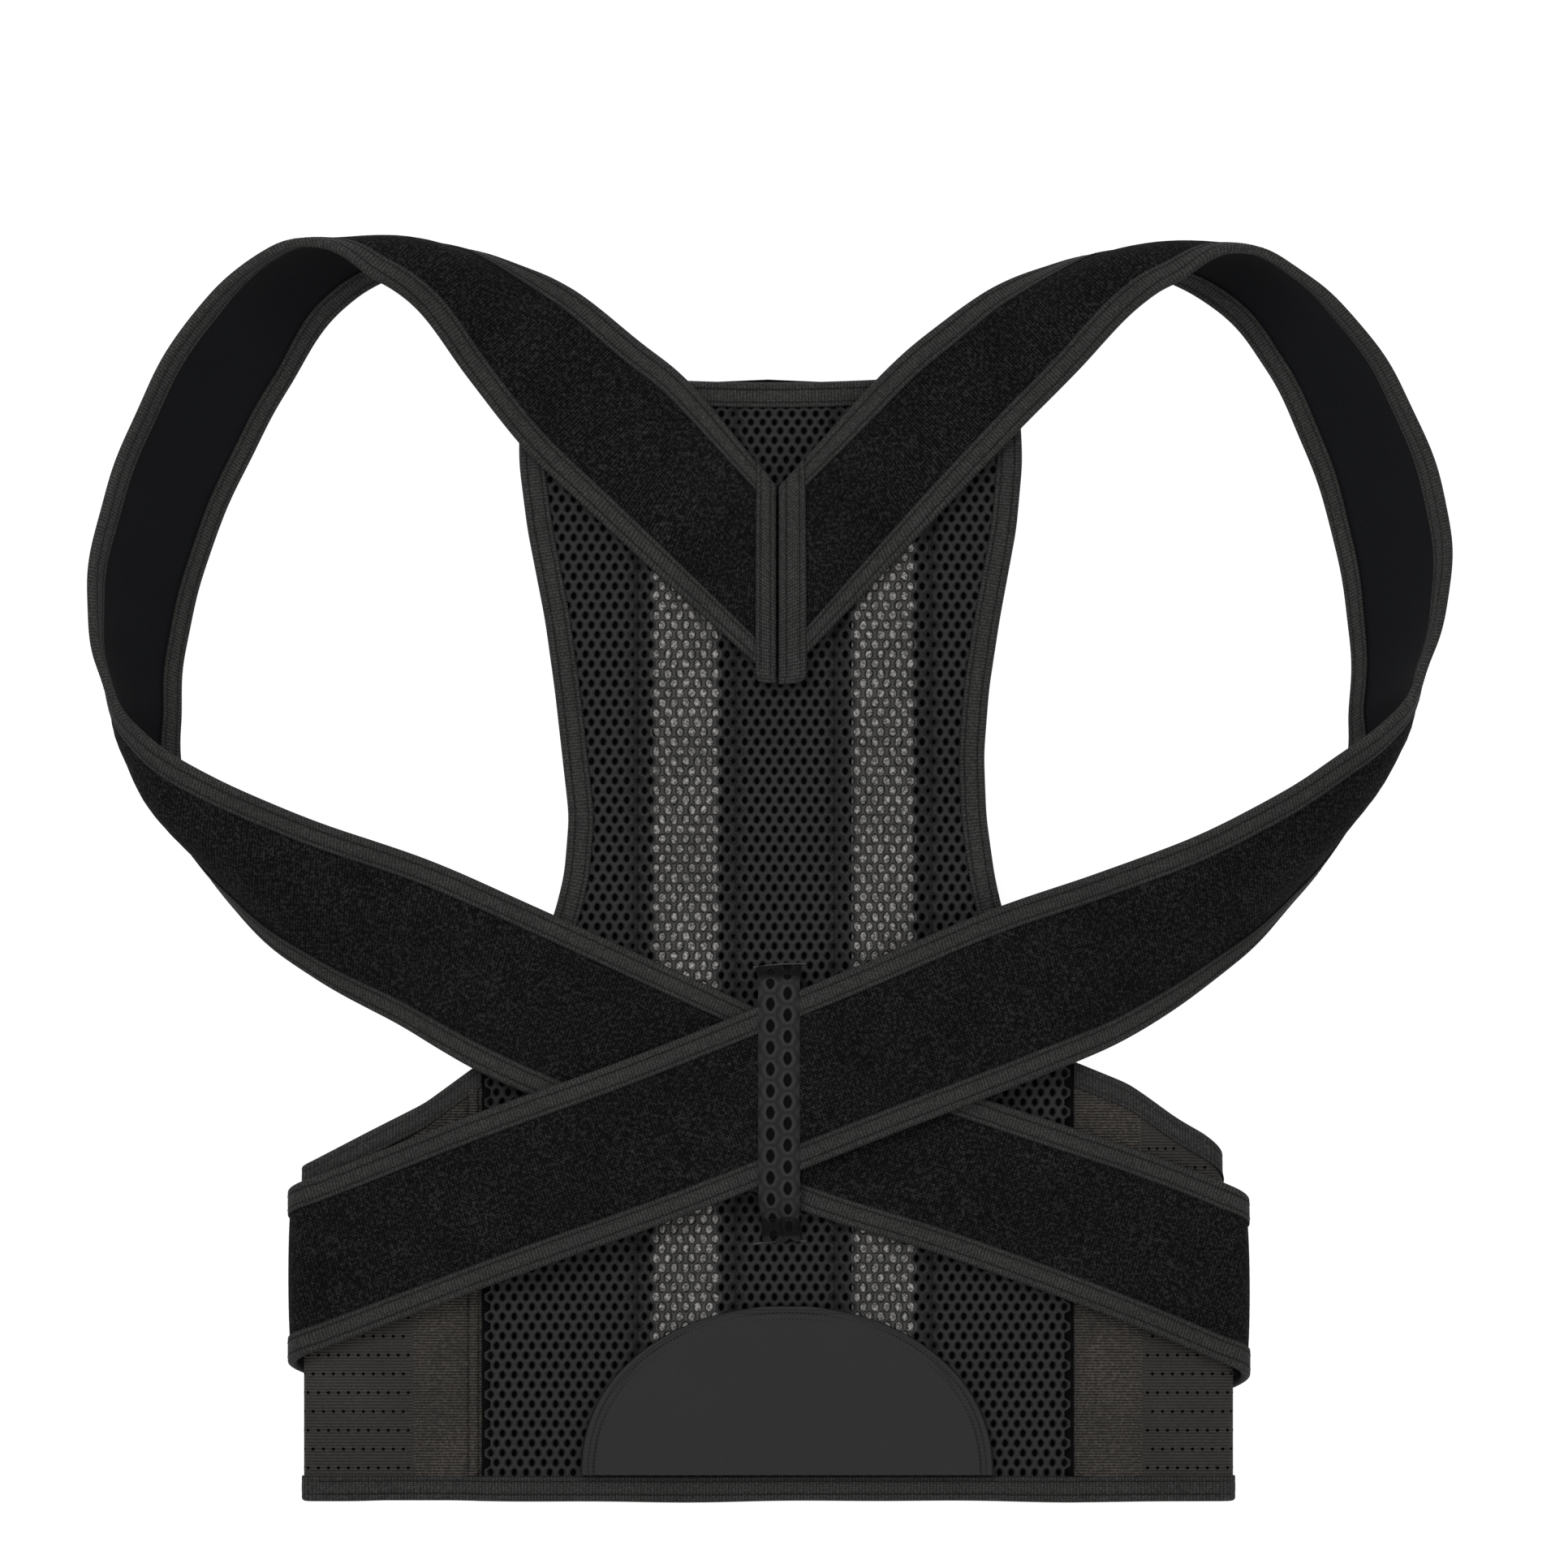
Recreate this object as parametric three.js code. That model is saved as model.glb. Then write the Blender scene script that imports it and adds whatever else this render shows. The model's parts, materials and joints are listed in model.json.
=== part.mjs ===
// A posture corrector lying with its outer side up: a mesh back panel with two stays, an elastic belt that
// folds round behind it, and two padded shoulder straps that cross over the panel under a mesh keeper.
// Millimetres, +Z up. X is across the back, Y runs from the hem up to the shoulders. The model is built with
// the hem's middle at the origin, and the finished group is then set on the middle of its own footprint.
import * as THREE from "three";
import { mergeVertices } from "three/addons/utils/BufferGeometryUtils.js";

// Driving dimensions
const BACK_LENGTH = 486.5;
const BELT_HALF = 200.5;
const STRAP_WIDTH = 72;
const STRAP_CORE = 2;
const TAPE = 0.7;
const TAPE_WIDTH = 11;
const CLEARANCE = 0.3;
const PANEL_BASE = 2.4;
const PANEL_MESH = 2.2;
const STAY_WIDTH = 27;
const STAY_THICKNESS = 1.6;
const STAY_SPACING = 84.7;
const STAY_MIDDLE = 7;
const STAY_BOTTOM = 58;
const STAY_TOP = 418;
const CHANNEL_FLANK = 3;
const CORNER_RADIUS = 24;
const TOP_DIP = 3.5;
const ELASTIC = 1.6;
const RIBBED_STRIP_WIDTH = 29.5;
const HEM_STEP = 4;
const BONING_WIDTH = 4;
const BONING_HEIGHT = 1.4;
const WING_OVERLAP = 100;
const HOOK_LENGTH = 80;
const HOOK_MARGIN = 8;
const HOOK_THICKNESS = 1.2;
const WAIST_GAP = 5.2;
const STRAP_TAIL = 80;
const TAB_LENGTH = 55;
const TAB_MARGIN = 4;
const TAB_THICKNESS = 1.2;
const PATCH_HALF = 89;
const PATCH_HEIGHT = 73;
const PATCH_OFFSET = 8;
const PATCH_THICKNESS = 1.2;
const KEEPER_WIDTH = 18;
const KEEPER_THICKNESS = 1.8;
const KEEPER_LENGTH = 0.2446 * BACK_LENGTH;
const KEEPER_OFFSET = 4.5;
const KEEPER_RAMP = 6;
const KEEPER_FOOT = 15;
const KEEPER_TOP = 0.475;

// Sizes that follow from them
const INSET = TAPE + CLEARANCE;
const TAPED_STRAP = STRAP_CORE + 2 * INSET;
const STRAP_FLOOR = TAPED_STRAP / 2;
const STRAP_STEP = TAPED_STRAP + 2 * CLEARANCE;
const OUTER_WING = TAPED_STRAP + CLEARANCE + INSET;
const INNER_WING = OUTER_WING + ELASTIC + 2 * INSET + CLEARANCE;
const BELT_LEVEL = INNER_WING + ELASTIC + INSET + WAIST_GAP + INSET;
const TOP_LEVEL = CLEARANCE + INSET;
const MESH_LEVEL = PANEL_BASE + CLEARANCE;
const MESH_TOP = MESH_LEVEL + PANEL_MESH;
const STAY_RAISE = STAY_THICKNESS + CLEARANCE;
const PANEL_STACK = MESH_TOP + STAY_RAISE + 2 * CLEARANCE;
const SIDE_STACK = ELASTIC + INSET + CLEARANCE;
const MESH_LEFT = -0.617 * BELT_HALF;
const MESH_RIGHT = 0.657 * BELT_HALF;

// Half outlines of the panel: where each side lies (share of BELT_HALF) at a height (share of BACK_LENGTH)
const PANEL_SIDES = [
  { y: 0.0, left: -0.617, right: 0.657 },
  { y: 0.39, left: -0.617, right: 0.657 },
  { y: 0.43, left: -0.562, right: 0.62 },
  { y: 0.47, left: -0.508, right: 0.566 },
  { y: 0.524, left: -0.459, right: 0.503 },
  { y: 0.556, left: -0.44, right: 0.486 },
  { y: 0.607, left: -0.43, right: 0.469 },
  { y: 0.662, left: -0.445, right: 0.464 },
  { y: 0.72, left: -0.461, right: 0.475 },
  { y: 0.782, left: -0.482, right: 0.498 },
  { y: 0.862, left: -0.52, right: 0.534 },
  { y: 0.92, left: -0.538, right: 0.547 },
  { y: 1.0, left: -0.538, right: 0.541 },
];

// Upper edge of the belt beside the panel: height (share of BACK_LENGTH) at a distance (share of BELT_HALF)
// from the centre line. Past 1 the belt has folded and the row lies on the wing behind.
const BELT_TOP_LEFT = [
  { x: 0.617, y: 0.39 },
  { x: 0.74, y: 0.353 },
  { x: 0.86, y: 0.328 },
  { x: 1.0, y: 0.298 },
  { x: 1.3, y: 0.28 },
  { x: 2.2, y: 0.24 },
];
const BELT_TOP_RIGHT = [
  { x: 0.657, y: 0.39 },
  { x: 0.776, y: 0.37 },
  { x: 0.894, y: 0.341 },
  { x: 0.965, y: 0.326 },
  { x: 1.04, y: 0.3 },
  { x: 1.3, y: 0.28 },
  { x: 2.2, y: 0.24 },
];

// Sections of the shoulder straps, from the cut end at the V to the end under the belt. x and y place the
// neck-side edge (shares of BELT_HALF and BACK_LENGTH), turn and lean point from it to the arm-side edge in
// degrees, width and bow are shares of STRAP_WIDTH, lift is 0 on the floor and 1 on the panel, and over is 1
// where the section lies on the other strap. Past the fold of the belt x runs on as if the strap lay flat.
const LEFT_STRAP = [
  { x: 0.0165, y: 0.9, turn: 270, lean: 0, width: 1.18, bow: 0, lift: 1, over: 0 },
  { x: -0.179, y: 0.996, turn: 229, lean: 0, width: 0.98, bow: 0, lift: 1, over: 0 },
  { x: -0.272, y: 1.027, turn: 222, lean: 1, width: 0.95, bow: 0, lift: 0.9, over: 0 },
  { x: -0.427, y: 1.076, turn: 222, lean: 13, width: 0.84, bow: 0.06, lift: 0.5, over: 0 },
  { x: -0.569, y: 1.1, turn: 210, lean: 36, width: 0.74, bow: 0.12, lift: 0.15, over: 0 },
  { x: -0.709, y: 1.106, turn: 202, lean: 57, width: 0.76, bow: 0.15, lift: 0, over: 0 },
  { x: -0.838, y: 1.082, turn: 148, lean: 61, width: 0.8, bow: 0.13, lift: 0, over: 0 },
  { x: -0.932, y: 1.052, turn: 141, lean: 53, width: 0.9, bow: 0.13, lift: 0, over: 0 },
  { x: -1.04, y: 0.987, turn: 140, lean: 46, width: 0.98, bow: 0.05, lift: 0, over: 0 },
  { x: -1.127, y: 0.917, turn: 145, lean: 44, width: 0.98, bow: 0.05, lift: 0, over: 0 },
  { x: -1.21, y: 0.838, turn: 146, lean: 45, width: 0.98, bow: 0.05, lift: 0, over: 0 },
  { x: -1.255, y: 0.763, turn: 150, lean: 49, width: 0.96, bow: 0.07, lift: 0, over: 0 },
  { x: -1.269, y: 0.698, turn: 147, lean: 54, width: 0.93, bow: 0.11, lift: 0, over: 0 },
  { x: -1.268, y: 0.647, turn: 132, lean: 60, width: 0.87, bow: 0.17, lift: 0, over: 0 },
  { x: -1.231, y: 0.583, turn: 102, lean: 53, width: 0.88, bow: 0.18, lift: 0, over: 0 },
  { x: -1.135, y: 0.519, turn: 88, lean: 38, width: 0.95, bow: 0.11, lift: 0.03, over: 0 },
  { x: -0.977, y: 0.464, turn: 86, lean: 24, width: 1.01, bow: 0.05, lift: 0.15, over: 0 },
  { x: -0.791, y: 0.421, turn: 80, lean: 11, width: 1.03, bow: 0.02, lift: 0.5, over: 0 },
  { x: -0.622, y: 0.381, turn: 74, lean: 1, width: 1.05, bow: 0, lift: 1, over: 0 },
  { x: -0.326, y: 0.327, turn: 68, lean: 0, width: 1.03, bow: 0, lift: 1, over: 0 },
  { x: 0.073, y: 0.258, turn: 70, lean: 0, width: 1.0, bow: 0, lift: 1, over: 0 },
  { x: 0.385, y: 0.217, turn: 72, lean: 0, width: 0.97, bow: 0, lift: 1, over: 0 },
  { x: 0.773, y: 0.158, turn: 73, lean: 0, width: 1.0, bow: 0, lift: 1, over: 0 },
  { x: 1.15, y: 0.092, turn: 73, lean: 0, width: 1.0, bow: 0, lift: 1, over: 0 },
];
const RIGHT_STRAP = [
  { x: 0.0215, y: 0.899, turn: 270, lean: 0, width: 1.18, bow: 0, lift: 1, over: 0 },
  { x: 0.256, y: 1.005, turn: 315, lean: 0, width: 0.83, bow: 0, lift: 1, over: 0 },
  { x: 0.345, y: 1.037, turn: 314, lean: 1, width: 0.8, bow: 0, lift: 0.9, over: 0 },
  { x: 0.484, y: 1.076, turn: 314, lean: 16, width: 0.74, bow: 0.08, lift: 0.5, over: 0 },
  { x: 0.632, y: 1.098, turn: 326, lean: 40, width: 0.68, bow: 0.12, lift: 0.15, over: 0 },
  { x: 0.763, y: 1.1, turn: 338, lean: 62, width: 0.74, bow: 0.14, lift: 0, over: 0 },
  { x: 0.869, y: 1.082, turn: 387, lean: 61, width: 0.8, bow: 0.12, lift: 0, over: 0 },
  { x: 0.98, y: 1.052, turn: 394, lean: 57, width: 0.86, bow: 0.15, lift: 0, over: 0 },
  { x: 1.076, y: 1.004, turn: 393, lean: 52, width: 0.91, bow: 0.11, lift: 0, over: 0 },
  { x: 1.154, y: 0.935, turn: 388, lean: 47, width: 0.94, bow: 0.09, lift: 0, over: 0 },
  { x: 1.221, y: 0.853, turn: 387, lean: 45, width: 0.97, bow: 0.05, lift: 0, over: 0 },
  { x: 1.254, y: 0.77, turn: 393, lean: 47, width: 0.98, bow: 0.04, lift: 0, over: 0 },
  { x: 1.255, y: 0.698, turn: 400, lean: 51, width: 0.96, bow: 0.07, lift: 0, over: 0 },
  { x: 1.25, y: 0.651, turn: 411, lean: 58, width: 0.89, bow: 0.15, lift: 0, over: 0 },
  { x: 1.215, y: 0.586, turn: 440, lean: 51, width: 0.9, bow: 0.13, lift: 0, over: 0 },
  { x: 1.111, y: 0.524, turn: 452, lean: 40, width: 0.93, bow: 0.12, lift: 0.03, over: 0 },
  { x: 0.963, y: 0.464, turn: 460, lean: 26, width: 0.95, bow: 0.06, lift: 0.15, over: 0 },
  { x: 0.789, y: 0.414, turn: 465, lean: 11, width: 1.01, bow: 0.02, lift: 0.5, over: 0.2 },
  { x: 0.597, y: 0.379, turn: 467, lean: 1, width: 1.04, bow: 0, lift: 1, over: 0.8 },
  { x: 0.266, y: 0.326, turn: 470, lean: 0, width: 1.01, bow: 0, lift: 1, over: 1 },
  { x: -0.193, y: 0.252, turn: 469, lean: 0, width: 1.0, bow: 0, lift: 1, over: 1 },
  { x: -0.45, y: 0.214, turn: 467, lean: 0, width: 1.0, bow: 0, lift: 1, over: 1 },
  { x: -0.583, y: 0.194, turn: 465, lean: 0, width: 1.0, bow: 0, lift: 1, over: 0.35 },
  { x: -0.87, y: 0.149, turn: 465, lean: 0, width: 0.99, bow: 0, lift: 1, over: 0 },
  { x: -1.21, y: 0.097, turn: 465, lean: 0, width: 1.0, bow: 0, lift: 1, over: 0 },
];

const FABRICS = {
  loop: { color: 0x101011, roughness: 0.95, metalness: 0 },
  tape: { color: 0x2b2929, roughness: 0.8, metalness: 0 },
  mesh: { color: 0x262627, roughness: 0.85, metalness: 0 },
  lining: { color: 0x131417, roughness: 0.9, metalness: 0 },
  elastic: { color: 0x33302f, roughness: 0.85, metalness: 0 },
  ribbed: { color: 0x282422, roughness: 0.8, metalness: 0 },
  patch: { color: 0x2c2c2d, roughness: 0.6, metalness: 0 },
  stay: { color: 0x8a8c8c, roughness: 0.5, metalness: 0 },
  hook: { color: 0x1b1b1c, roughness: 0.9, metalness: 0 },
};

const clamp01 = (value) => Math.min(1, Math.max(0, value));
const ease = (value) => clamp01(value) ** 2 * (3 - 2 * clamp01(value));
const degrees = (value) => (value * Math.PI) / 180;

// Reads one column of a table at a place between its rows.
function readTable(rows, key, column, place) {
  const last = rows.length - 1;
  let row = 0;
  while (row < last - 1 && place > rows[row + 1][key]) row += 1;
  const share = clamp01((place - rows[row][key]) / (rows[row + 1][key] - rows[row][key]));
  return THREE.MathUtils.lerp(rows[row][column], rows[row + 1][column], share);
}

// Joins rings of equal length into one closed body. A ring runs out along one face and back along the other,
// so its ends are closed by a strip between the two.
function loft(rings) {
  const count = rings[0].length;
  const positions = rings.flat().flatMap((point) => [point.x, point.y, point.z]);
  const faces = [];
  for (let ring = 0; ring < rings.length - 1; ring += 1) {
    for (let side = 0; side < count; side += 1) {
      const a = ring * count + side;
      const b = ring * count + ((side + 1) % count);
      faces.push(a, b, b + count, a, b + count, a + count);
    }
  }
  const lastRing = (rings.length - 1) * count;
  for (let a = 0; a < count / 2 - 1; a += 1) {
    const [b, c, d] = [a + 1, count - 2 - a, count - 1 - a];
    faces.push(c, b, a, d, c, a);
    faces.push(lastRing + a, lastRing + b, lastRing + c, lastRing + a, lastRing + c, lastRing + d);
  }
  const geometry = new THREE.BufferGeometry();
  geometry.setAttribute("position", new THREE.Float32BufferAttribute(positions, 3));
  geometry.setIndex(faces);
  return facedOutwards(geometry);
}

// Turns every face over where the body's volume comes out negative.
function facedOutwards(geometry) {
  const at = geometry.getAttribute("position");
  const index = geometry.getIndex().array;
  const corner = (number) => new THREE.Vector3().fromBufferAttribute(at, index[number]);
  let volume = 0;
  for (let face = 0; face < index.length; face += 3) {
    volume += corner(face).dot(corner(face + 1).cross(corner(face + 2)));
  }
  if (volume < 0) {
    for (let face = 0; face < index.length; face += 3) {
      [index[face], index[face + 1]] = [index[face + 1], index[face]];
    }
  }
  return mergeVertices(geometry);
}

// The outline of a folded tape seen end on: s runs inwards from the folded edge, h across the thickness.
function tapeOutline(width, low, high) {
  return [
    [width, high + INSET], [0, high + INSET], [0, low - INSET], [width, low - INSET],
    [width, low - CLEARANCE], [TAPE, low - CLEARANCE], [TAPE, high + CLEARANCE], [width, high + CLEARANCE],
  ].map(([s, h]) => ({ s, h }));
}

// The outline of a flat bar seen end on, from its middle out to half its width.
function barOutline(half, thickness) {
  return [[-half, 0], [half, 0], [half, thickness], [-half, thickness]].map(([s, h]) => ({ s, h }));
}

// How high the underside of the panel lies: level over the belt, then sloping down to the floor at the top.
const beltTop = BACK_LENGTH * BELT_TOP_LEFT[3].y;
function panelLevel(y) {
  const slope = clamp01((y - beltTop) / (BACK_LENGTH - beltTop));
  return THREE.MathUtils.lerp(BELT_LEVEL, TOP_LEVEL, slope);
}

// How high a strap lies above the underside of the panel or of the belt's sides.
function stackHeight(x) {
  const edge = x < 0 ? -MESH_LEFT : MESH_RIGHT;
  return THREE.MathUtils.lerp(PANEL_STACK, SIDE_STACK, ease((Math.abs(x) - edge - TAPE_WIDTH) / RIBBED_STRIP_WIDTH));
}

// How high the underside of the belt's sides lies: it leaves the panel's slope for the level of the fold.
function sideLevel(x, y) {
  return THREE.MathUtils.lerp(panelLevel(y), BELT_LEVEL, ease((Math.abs(x) / BELT_HALF - 0.8) / 0.15));
}

const strapLevel = (x, y) => panelLevel(y) + stackHeight(x) + STRAP_FLOOR;

// A fold round a side of the belt, from the upper level to the lower one. reach is the outermost distance of
// the folded layer's middle from the centre line.
function makeFold(upper, lower, reach) {
  const radius = (upper - lower) / 2;
  return { upper, lower, radius, start: reach - radius, arc: Math.PI * radius };
}

const beltMiddle = BELT_LEVEL + ELASTIC / 2;
const LEFT_FOLD = makeFold(beltMiddle, INNER_WING + ELASTIC / 2, BELT_HALF - ELASTIC / 2);
const RIGHT_FOLD = makeFold(beltMiddle, OUTER_WING + ELASTIC / 2, BELT_HALF - ELASTIC / 2);
const STRAP_FOLD = makeFold(
  BELT_LEVEL + SIDE_STACK + STRAP_FLOOR, STRAP_FLOOR, BELT_HALF + INSET + 7 * CLEARANCE + STRAP_FLOOR);

// Carries a point of a layer laid out flat round the fold at its side.
function foldPoint(point, fold) {
  const run = Math.abs(point.x) - fold.start;
  if (run <= 0) return point;
  const side = Math.sign(point.x);
  const height = point.z - fold.upper;
  if (run >= fold.arc) {
    return new THREE.Vector3(side * (fold.start - (run - fold.arc)), point.y, fold.lower - height);
  }
  const angle = run / fold.radius;
  const reach = fold.radius + height;
  const middle = (fold.upper + fold.lower) / 2;
  return new THREE.Vector3(side * (fold.start + reach * Math.sin(angle)), point.y, middle + reach * Math.cos(angle));
}

// Heights read smoothly between rows, without rising or falling past the rows' own values.
function smoothHeights(values) {
  const steps = values.slice(1).map((value, row) => value - values[row]);
  const tangents = values.map((value, row) => {
    const before = steps[Math.max(0, row - 1)];
    const after = steps[Math.min(steps.length - 1, row)];
    return before * after > 0 ? (2 * before * after) / (before + after) : 0;
  });
  return (t) => {
    const row = Math.min(steps.length - 1, Math.floor(t));
    const s = t - row;
    const bend = tangents[row] * (1 - s) ** 2 * s - tangents[row + 1] * (1 - s) * s ** 2;
    return values[row] + steps[row] * ease(s) + bend;
  };
}

// One edge of a strap through the points of its rows: a curve in plan, with its heights read smoothly.
function edgeCurve(points) {
  const plan = new THREE.CatmullRomCurve3(points);
  const height = smoothHeights(points.map((point) => point.z));
  return (t) => plan.getPoint(t / (points.length - 1)).setZ(height(t));
}

// Distances between the rings of a strap.
const FOLD_SPACING = 5;
const LOOP_SPACING = 19;
const FLAT_SPACING = 36;

// A shoulder strap as a surface: at(t, u, h) gives a point at section t (in rows), a share u of the way from
// the neck side to the arm side, and h above the middle of the strap on its outer side.
class StrapSurface {
  constructor(rows, side) {
    this.side = side;
    const lastRow = rows[rows.length - 1];
    const run = STRAP_FOLD.start + STRAP_FOLD.arc + STRAP_TAIL;
    const before = rows[rows.length - 2];
    const slope = (lastRow.y - before.y) / (lastRow.x - before.x);
    const end = (side * run) / BELT_HALF;
    const tail = { ...lastRow, x: end, y: lastRow.y + slope * (end - lastRow.x) };
    this.rows = [...rows, tail];
    this.foldRow = rows.length - 4;
    this.neck = edgeCurve(this.rows.map((row) => this.neckPoint(row)));
    this.arm = edgeCurve(this.rows.map((row) => this.armPoint(row)));
    this.last = this.rows.length - 1;
  }

  neckPoint(row) {
    const x = row.x * BELT_HALF;
    const y = row.y * BACK_LENGTH;
    const level = THREE.MathUtils.lerp(STRAP_FLOOR, strapLevel(x, y), row.lift);
    return new THREE.Vector3(x, y, level + row.over * STRAP_STEP);
  }

  armPoint(row) {
    const neck = this.neckPoint(row);
    const length = row.width * STRAP_WIDTH;
    const flat = length * Math.cos(degrees(row.lean));
    const x = neck.x + flat * Math.cos(degrees(row.turn));
    const y = neck.y + flat * Math.sin(degrees(row.turn));
    const slope = (strapLevel(x, y) - strapLevel(neck.x, neck.y)) * row.lift;
    return new THREE.Vector3(x, y, neck.z + length * Math.sin(degrees(row.lean)) + slope);
  }

  middle(t) {
    const place = Math.min(this.last, Math.max(0, t));
    return this.neck(place).add(this.arm(place)).multiplyScalar(0.5);
  }

  bow(t) {
    const row = Math.min(this.last - 1, Math.floor(t));
    const share = ease(t - row);
    return STRAP_WIDTH * THREE.MathUtils.lerp(this.rows[row].bow, this.rows[row + 1].bow, share);
  }

  frame(t) {
    const neck = this.neck(t);
    const across = this.arm(t).sub(neck);
    const along = this.middle(t + 0.02).sub(this.middle(t - 0.02)).normalize();
    const normal = along.clone().cross(across).multiplyScalar(this.side).normalize();
    const bow = this.bow(t);
    const chord = across.length();
    return { neck, across, along, normal, bow, length: chord + (8 * bow * bow) / (3 * chord) };
  }

  at(t, u, h, frame = this.frame(t)) {
    const { neck, across, along, normal, bow } = frame;
    const slope = across.clone().addScaledVector(normal, bow * Math.PI * Math.cos(Math.PI * u));
    const up = along.clone().cross(slope).multiplyScalar(this.side).normalize();
    const point = neck.clone().addScaledVector(across, u);
    point.addScaledVector(normal, bow * Math.sin(Math.PI * u)).addScaledVector(up, h);
    return t > this.foldRow ? foldPoint(point, STRAP_FOLD) : point;
  }

  // Whether a section touches the fold of the belt.
  folds(t) {
    if (t <= this.foldRow || t > this.last) return false;
    const reach = [this.neck, this.arm].map((edge) => Math.abs(edge(t).x));
    return Math.max(...reach) > STRAP_FOLD.start && Math.min(...reach) < STRAP_FOLD.start + STRAP_FOLD.arc;
  }

  // Places of the rings from one section to the end: close together round the fold and on the arm loop.
  stations(from) {
    const places = [];
    for (let row = 0; row < this.last; row += 1) {
      const length = this.middle(row + 1).distanceTo(this.middle(row));
      const leans = this.rows[row].lean + this.rows[row + 1].lean > 0;
      const coarse = Math.max(1, Math.round(length / (leans ? LOOP_SPACING : FLAT_SPACING)));
      const fine = coarse * Math.max(1, Math.round(length / coarse / FOLD_SPACING));
      for (let step = 0; step < fine; step += 1) {
        const t = row + step / fine;
        const folds = this.folds(t) || this.folds(t + 1 / fine) || this.folds(t - 1 / fine);
        if (folds || step % (fine / coarse) === 0) places.push(t);
      }
    }
    return [from, ...places.filter((t) => t > from + 0.05), this.last];
  }
}

function strapCore(strap, from) {
  const high = STRAP_CORE / 2;
  const rings = strap.stations(from).map((t) => {
    const frame = strap.frame(t);
    const inset = INSET / frame.length;
    const taped = TAPE_WIDTH / frame.length;
    const places = [inset, taped, 0.5, 1 - taped, 1 - inset];
    const top = places.map((share) => strap.at(t, share, high, frame));
    const bottom = places.map((share) => strap.at(t, share, -high, frame)).reverse();
    return [...top, ...bottom];
  });
  return loft(rings);
}

function strapTape(strap, from, armSide) {
  const outline = tapeOutline(TAPE_WIDTH, -STRAP_CORE / 2, STRAP_CORE / 2);
  const rings = strap.stations(from).map((t) => {
    const frame = strap.frame(t);
    const ring = outline.map(({ s, h }) => {
      const share = s / frame.length;
      return strap.at(t, armSide ? 1 - share : share, h, frame);
    });
    return armSide ? ring.reverse() : ring;
  });
  return loft(rings);
}

// The tape over the cut end of a strap at the V, from the notch down to the tip.
function yokeTape(strap, share) {
  const first = strap.neckPoint(strap.rows[0]).distanceTo(strap.neckPoint(strap.rows[1]));
  const outline = tapeOutline(share * first, -STRAP_CORE / 2, STRAP_CORE / 2);
  const places = [0, 0.25, 0.5, 0.75, 1];
  return loft(places.map((u) => outline.map(({ s, h }) => strap.at(s / first, u, h))));
}

// Distances from the centre line at which the belt's side has a ring: at the rows of its upper edge, where
// its level changes, and close together round the fold.
function sidePlaces(from, to, rows, fold) {
  const places = rows.map((row) => row.x * BELT_HALF);
  for (const share of [0.82, 0.86, 0.9, 0.95]) places.push(share * BELT_HALF);
  if (fold) for (let step = 0; step <= 8; step += 1) places.push(fold.start + (fold.arc * step) / 8);
  const inside = places.filter((x) => x > from + 1 && x < to - 1).sort((a, b) => a - b);
  const spaced = inside.filter((x, number) => number === 0 || x - inside[number - 1] > 0.5);
  return [from, ...spaced, to];
}

// A flat layer of the belt's side between two distances from the centre line, carried round the fold.
function sideLayer(side, from, to, top, low, high, { bottom = INSET, fold = null, rows = [] } = {}) {
  const rings = sidePlaces(from, to, rows, fold).map((x) => {
    const heights = [bottom, Math.min(beltTop, THREE.MathUtils.lerp(bottom, top(x), 0.9)), top(x)];
    const corners = [...heights.map((y) => ({ y, h: low })), ...heights.reverse().map((y) => ({ y, h: high }))];
    return corners.map(({ y, h }) => {
      const point = new THREE.Vector3(side * x, y, sideLevel(x, y) + h);
      return fold ? foldPoint(point, fold) : point;
    });
  });
  return loft(rings);
}

// The upper edge of the cloth inside the binding, which slopes by up to about 35 degrees.
const SLOPED_INSET = INSET * 1.6;
const beltTopLeft = (x) => BACK_LENGTH * readTable(BELT_TOP_LEFT, "x", "y", x / BELT_HALF) - SLOPED_INSET;
const beltTopRight = (x) => BACK_LENGTH * readTable(BELT_TOP_RIGHT, "x", "y", x / BELT_HALF) - SLOPED_INSET;

// Where a wing ends, as a run from the centre line round the fold to its free end.
const wingRun = (fold) => 2 * fold.start + fold.arc + WING_OVERLAP / 2;

// Places along the top edge of the panel, as shares of it.
const TOP_SHARES = [0.17, 0.33, 0.5, 0.67, 0.83];

// The panel's outline as a run of points from the left end of the hem over the top to the right end.
function panelOutline() {
  const level = BACK_LENGTH - CORNER_RADIUS;
  const sides = PANEL_SIDES.map((row) => row.y * BACK_LENGTH).filter((y) => y > 0 && y < level);
  const left = [];
  const right = [];
  for (const y of [TAPE_WIDTH + CLEARANCE, ...sides, level]) {
    left.push({ x: readTable(PANEL_SIDES, "y", "left", y / BACK_LENGTH) * BELT_HALF, y });
    right.push({ x: readTable(PANEL_SIDES, "y", "right", y / BACK_LENGTH) * BELT_HALF, y });
  }
  const leftMost = left[left.length - 1].x;
  const rightMost = right[right.length - 1].x;
  for (const angle of [22, 45, 68, 90]) {
    const x = CORNER_RADIUS * (1 - Math.cos(degrees(angle)));
    const y = level + CORNER_RADIUS * Math.sin(degrees(angle));
    left.push({ x: leftMost + x, y });
    right.push({ x: rightMost - x, y });
  }
  const from = left[left.length - 1].x;
  const to = right[right.length - 1].x;
  const top = TOP_SHARES.map((share) => ({
    x: THREE.MathUtils.lerp(from, to, share), y: BACK_LENGTH - TOP_DIP * Math.sin(Math.PI * share),
  }));
  return { left, right, top };
}

const OUTLINE = panelOutline();

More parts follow.
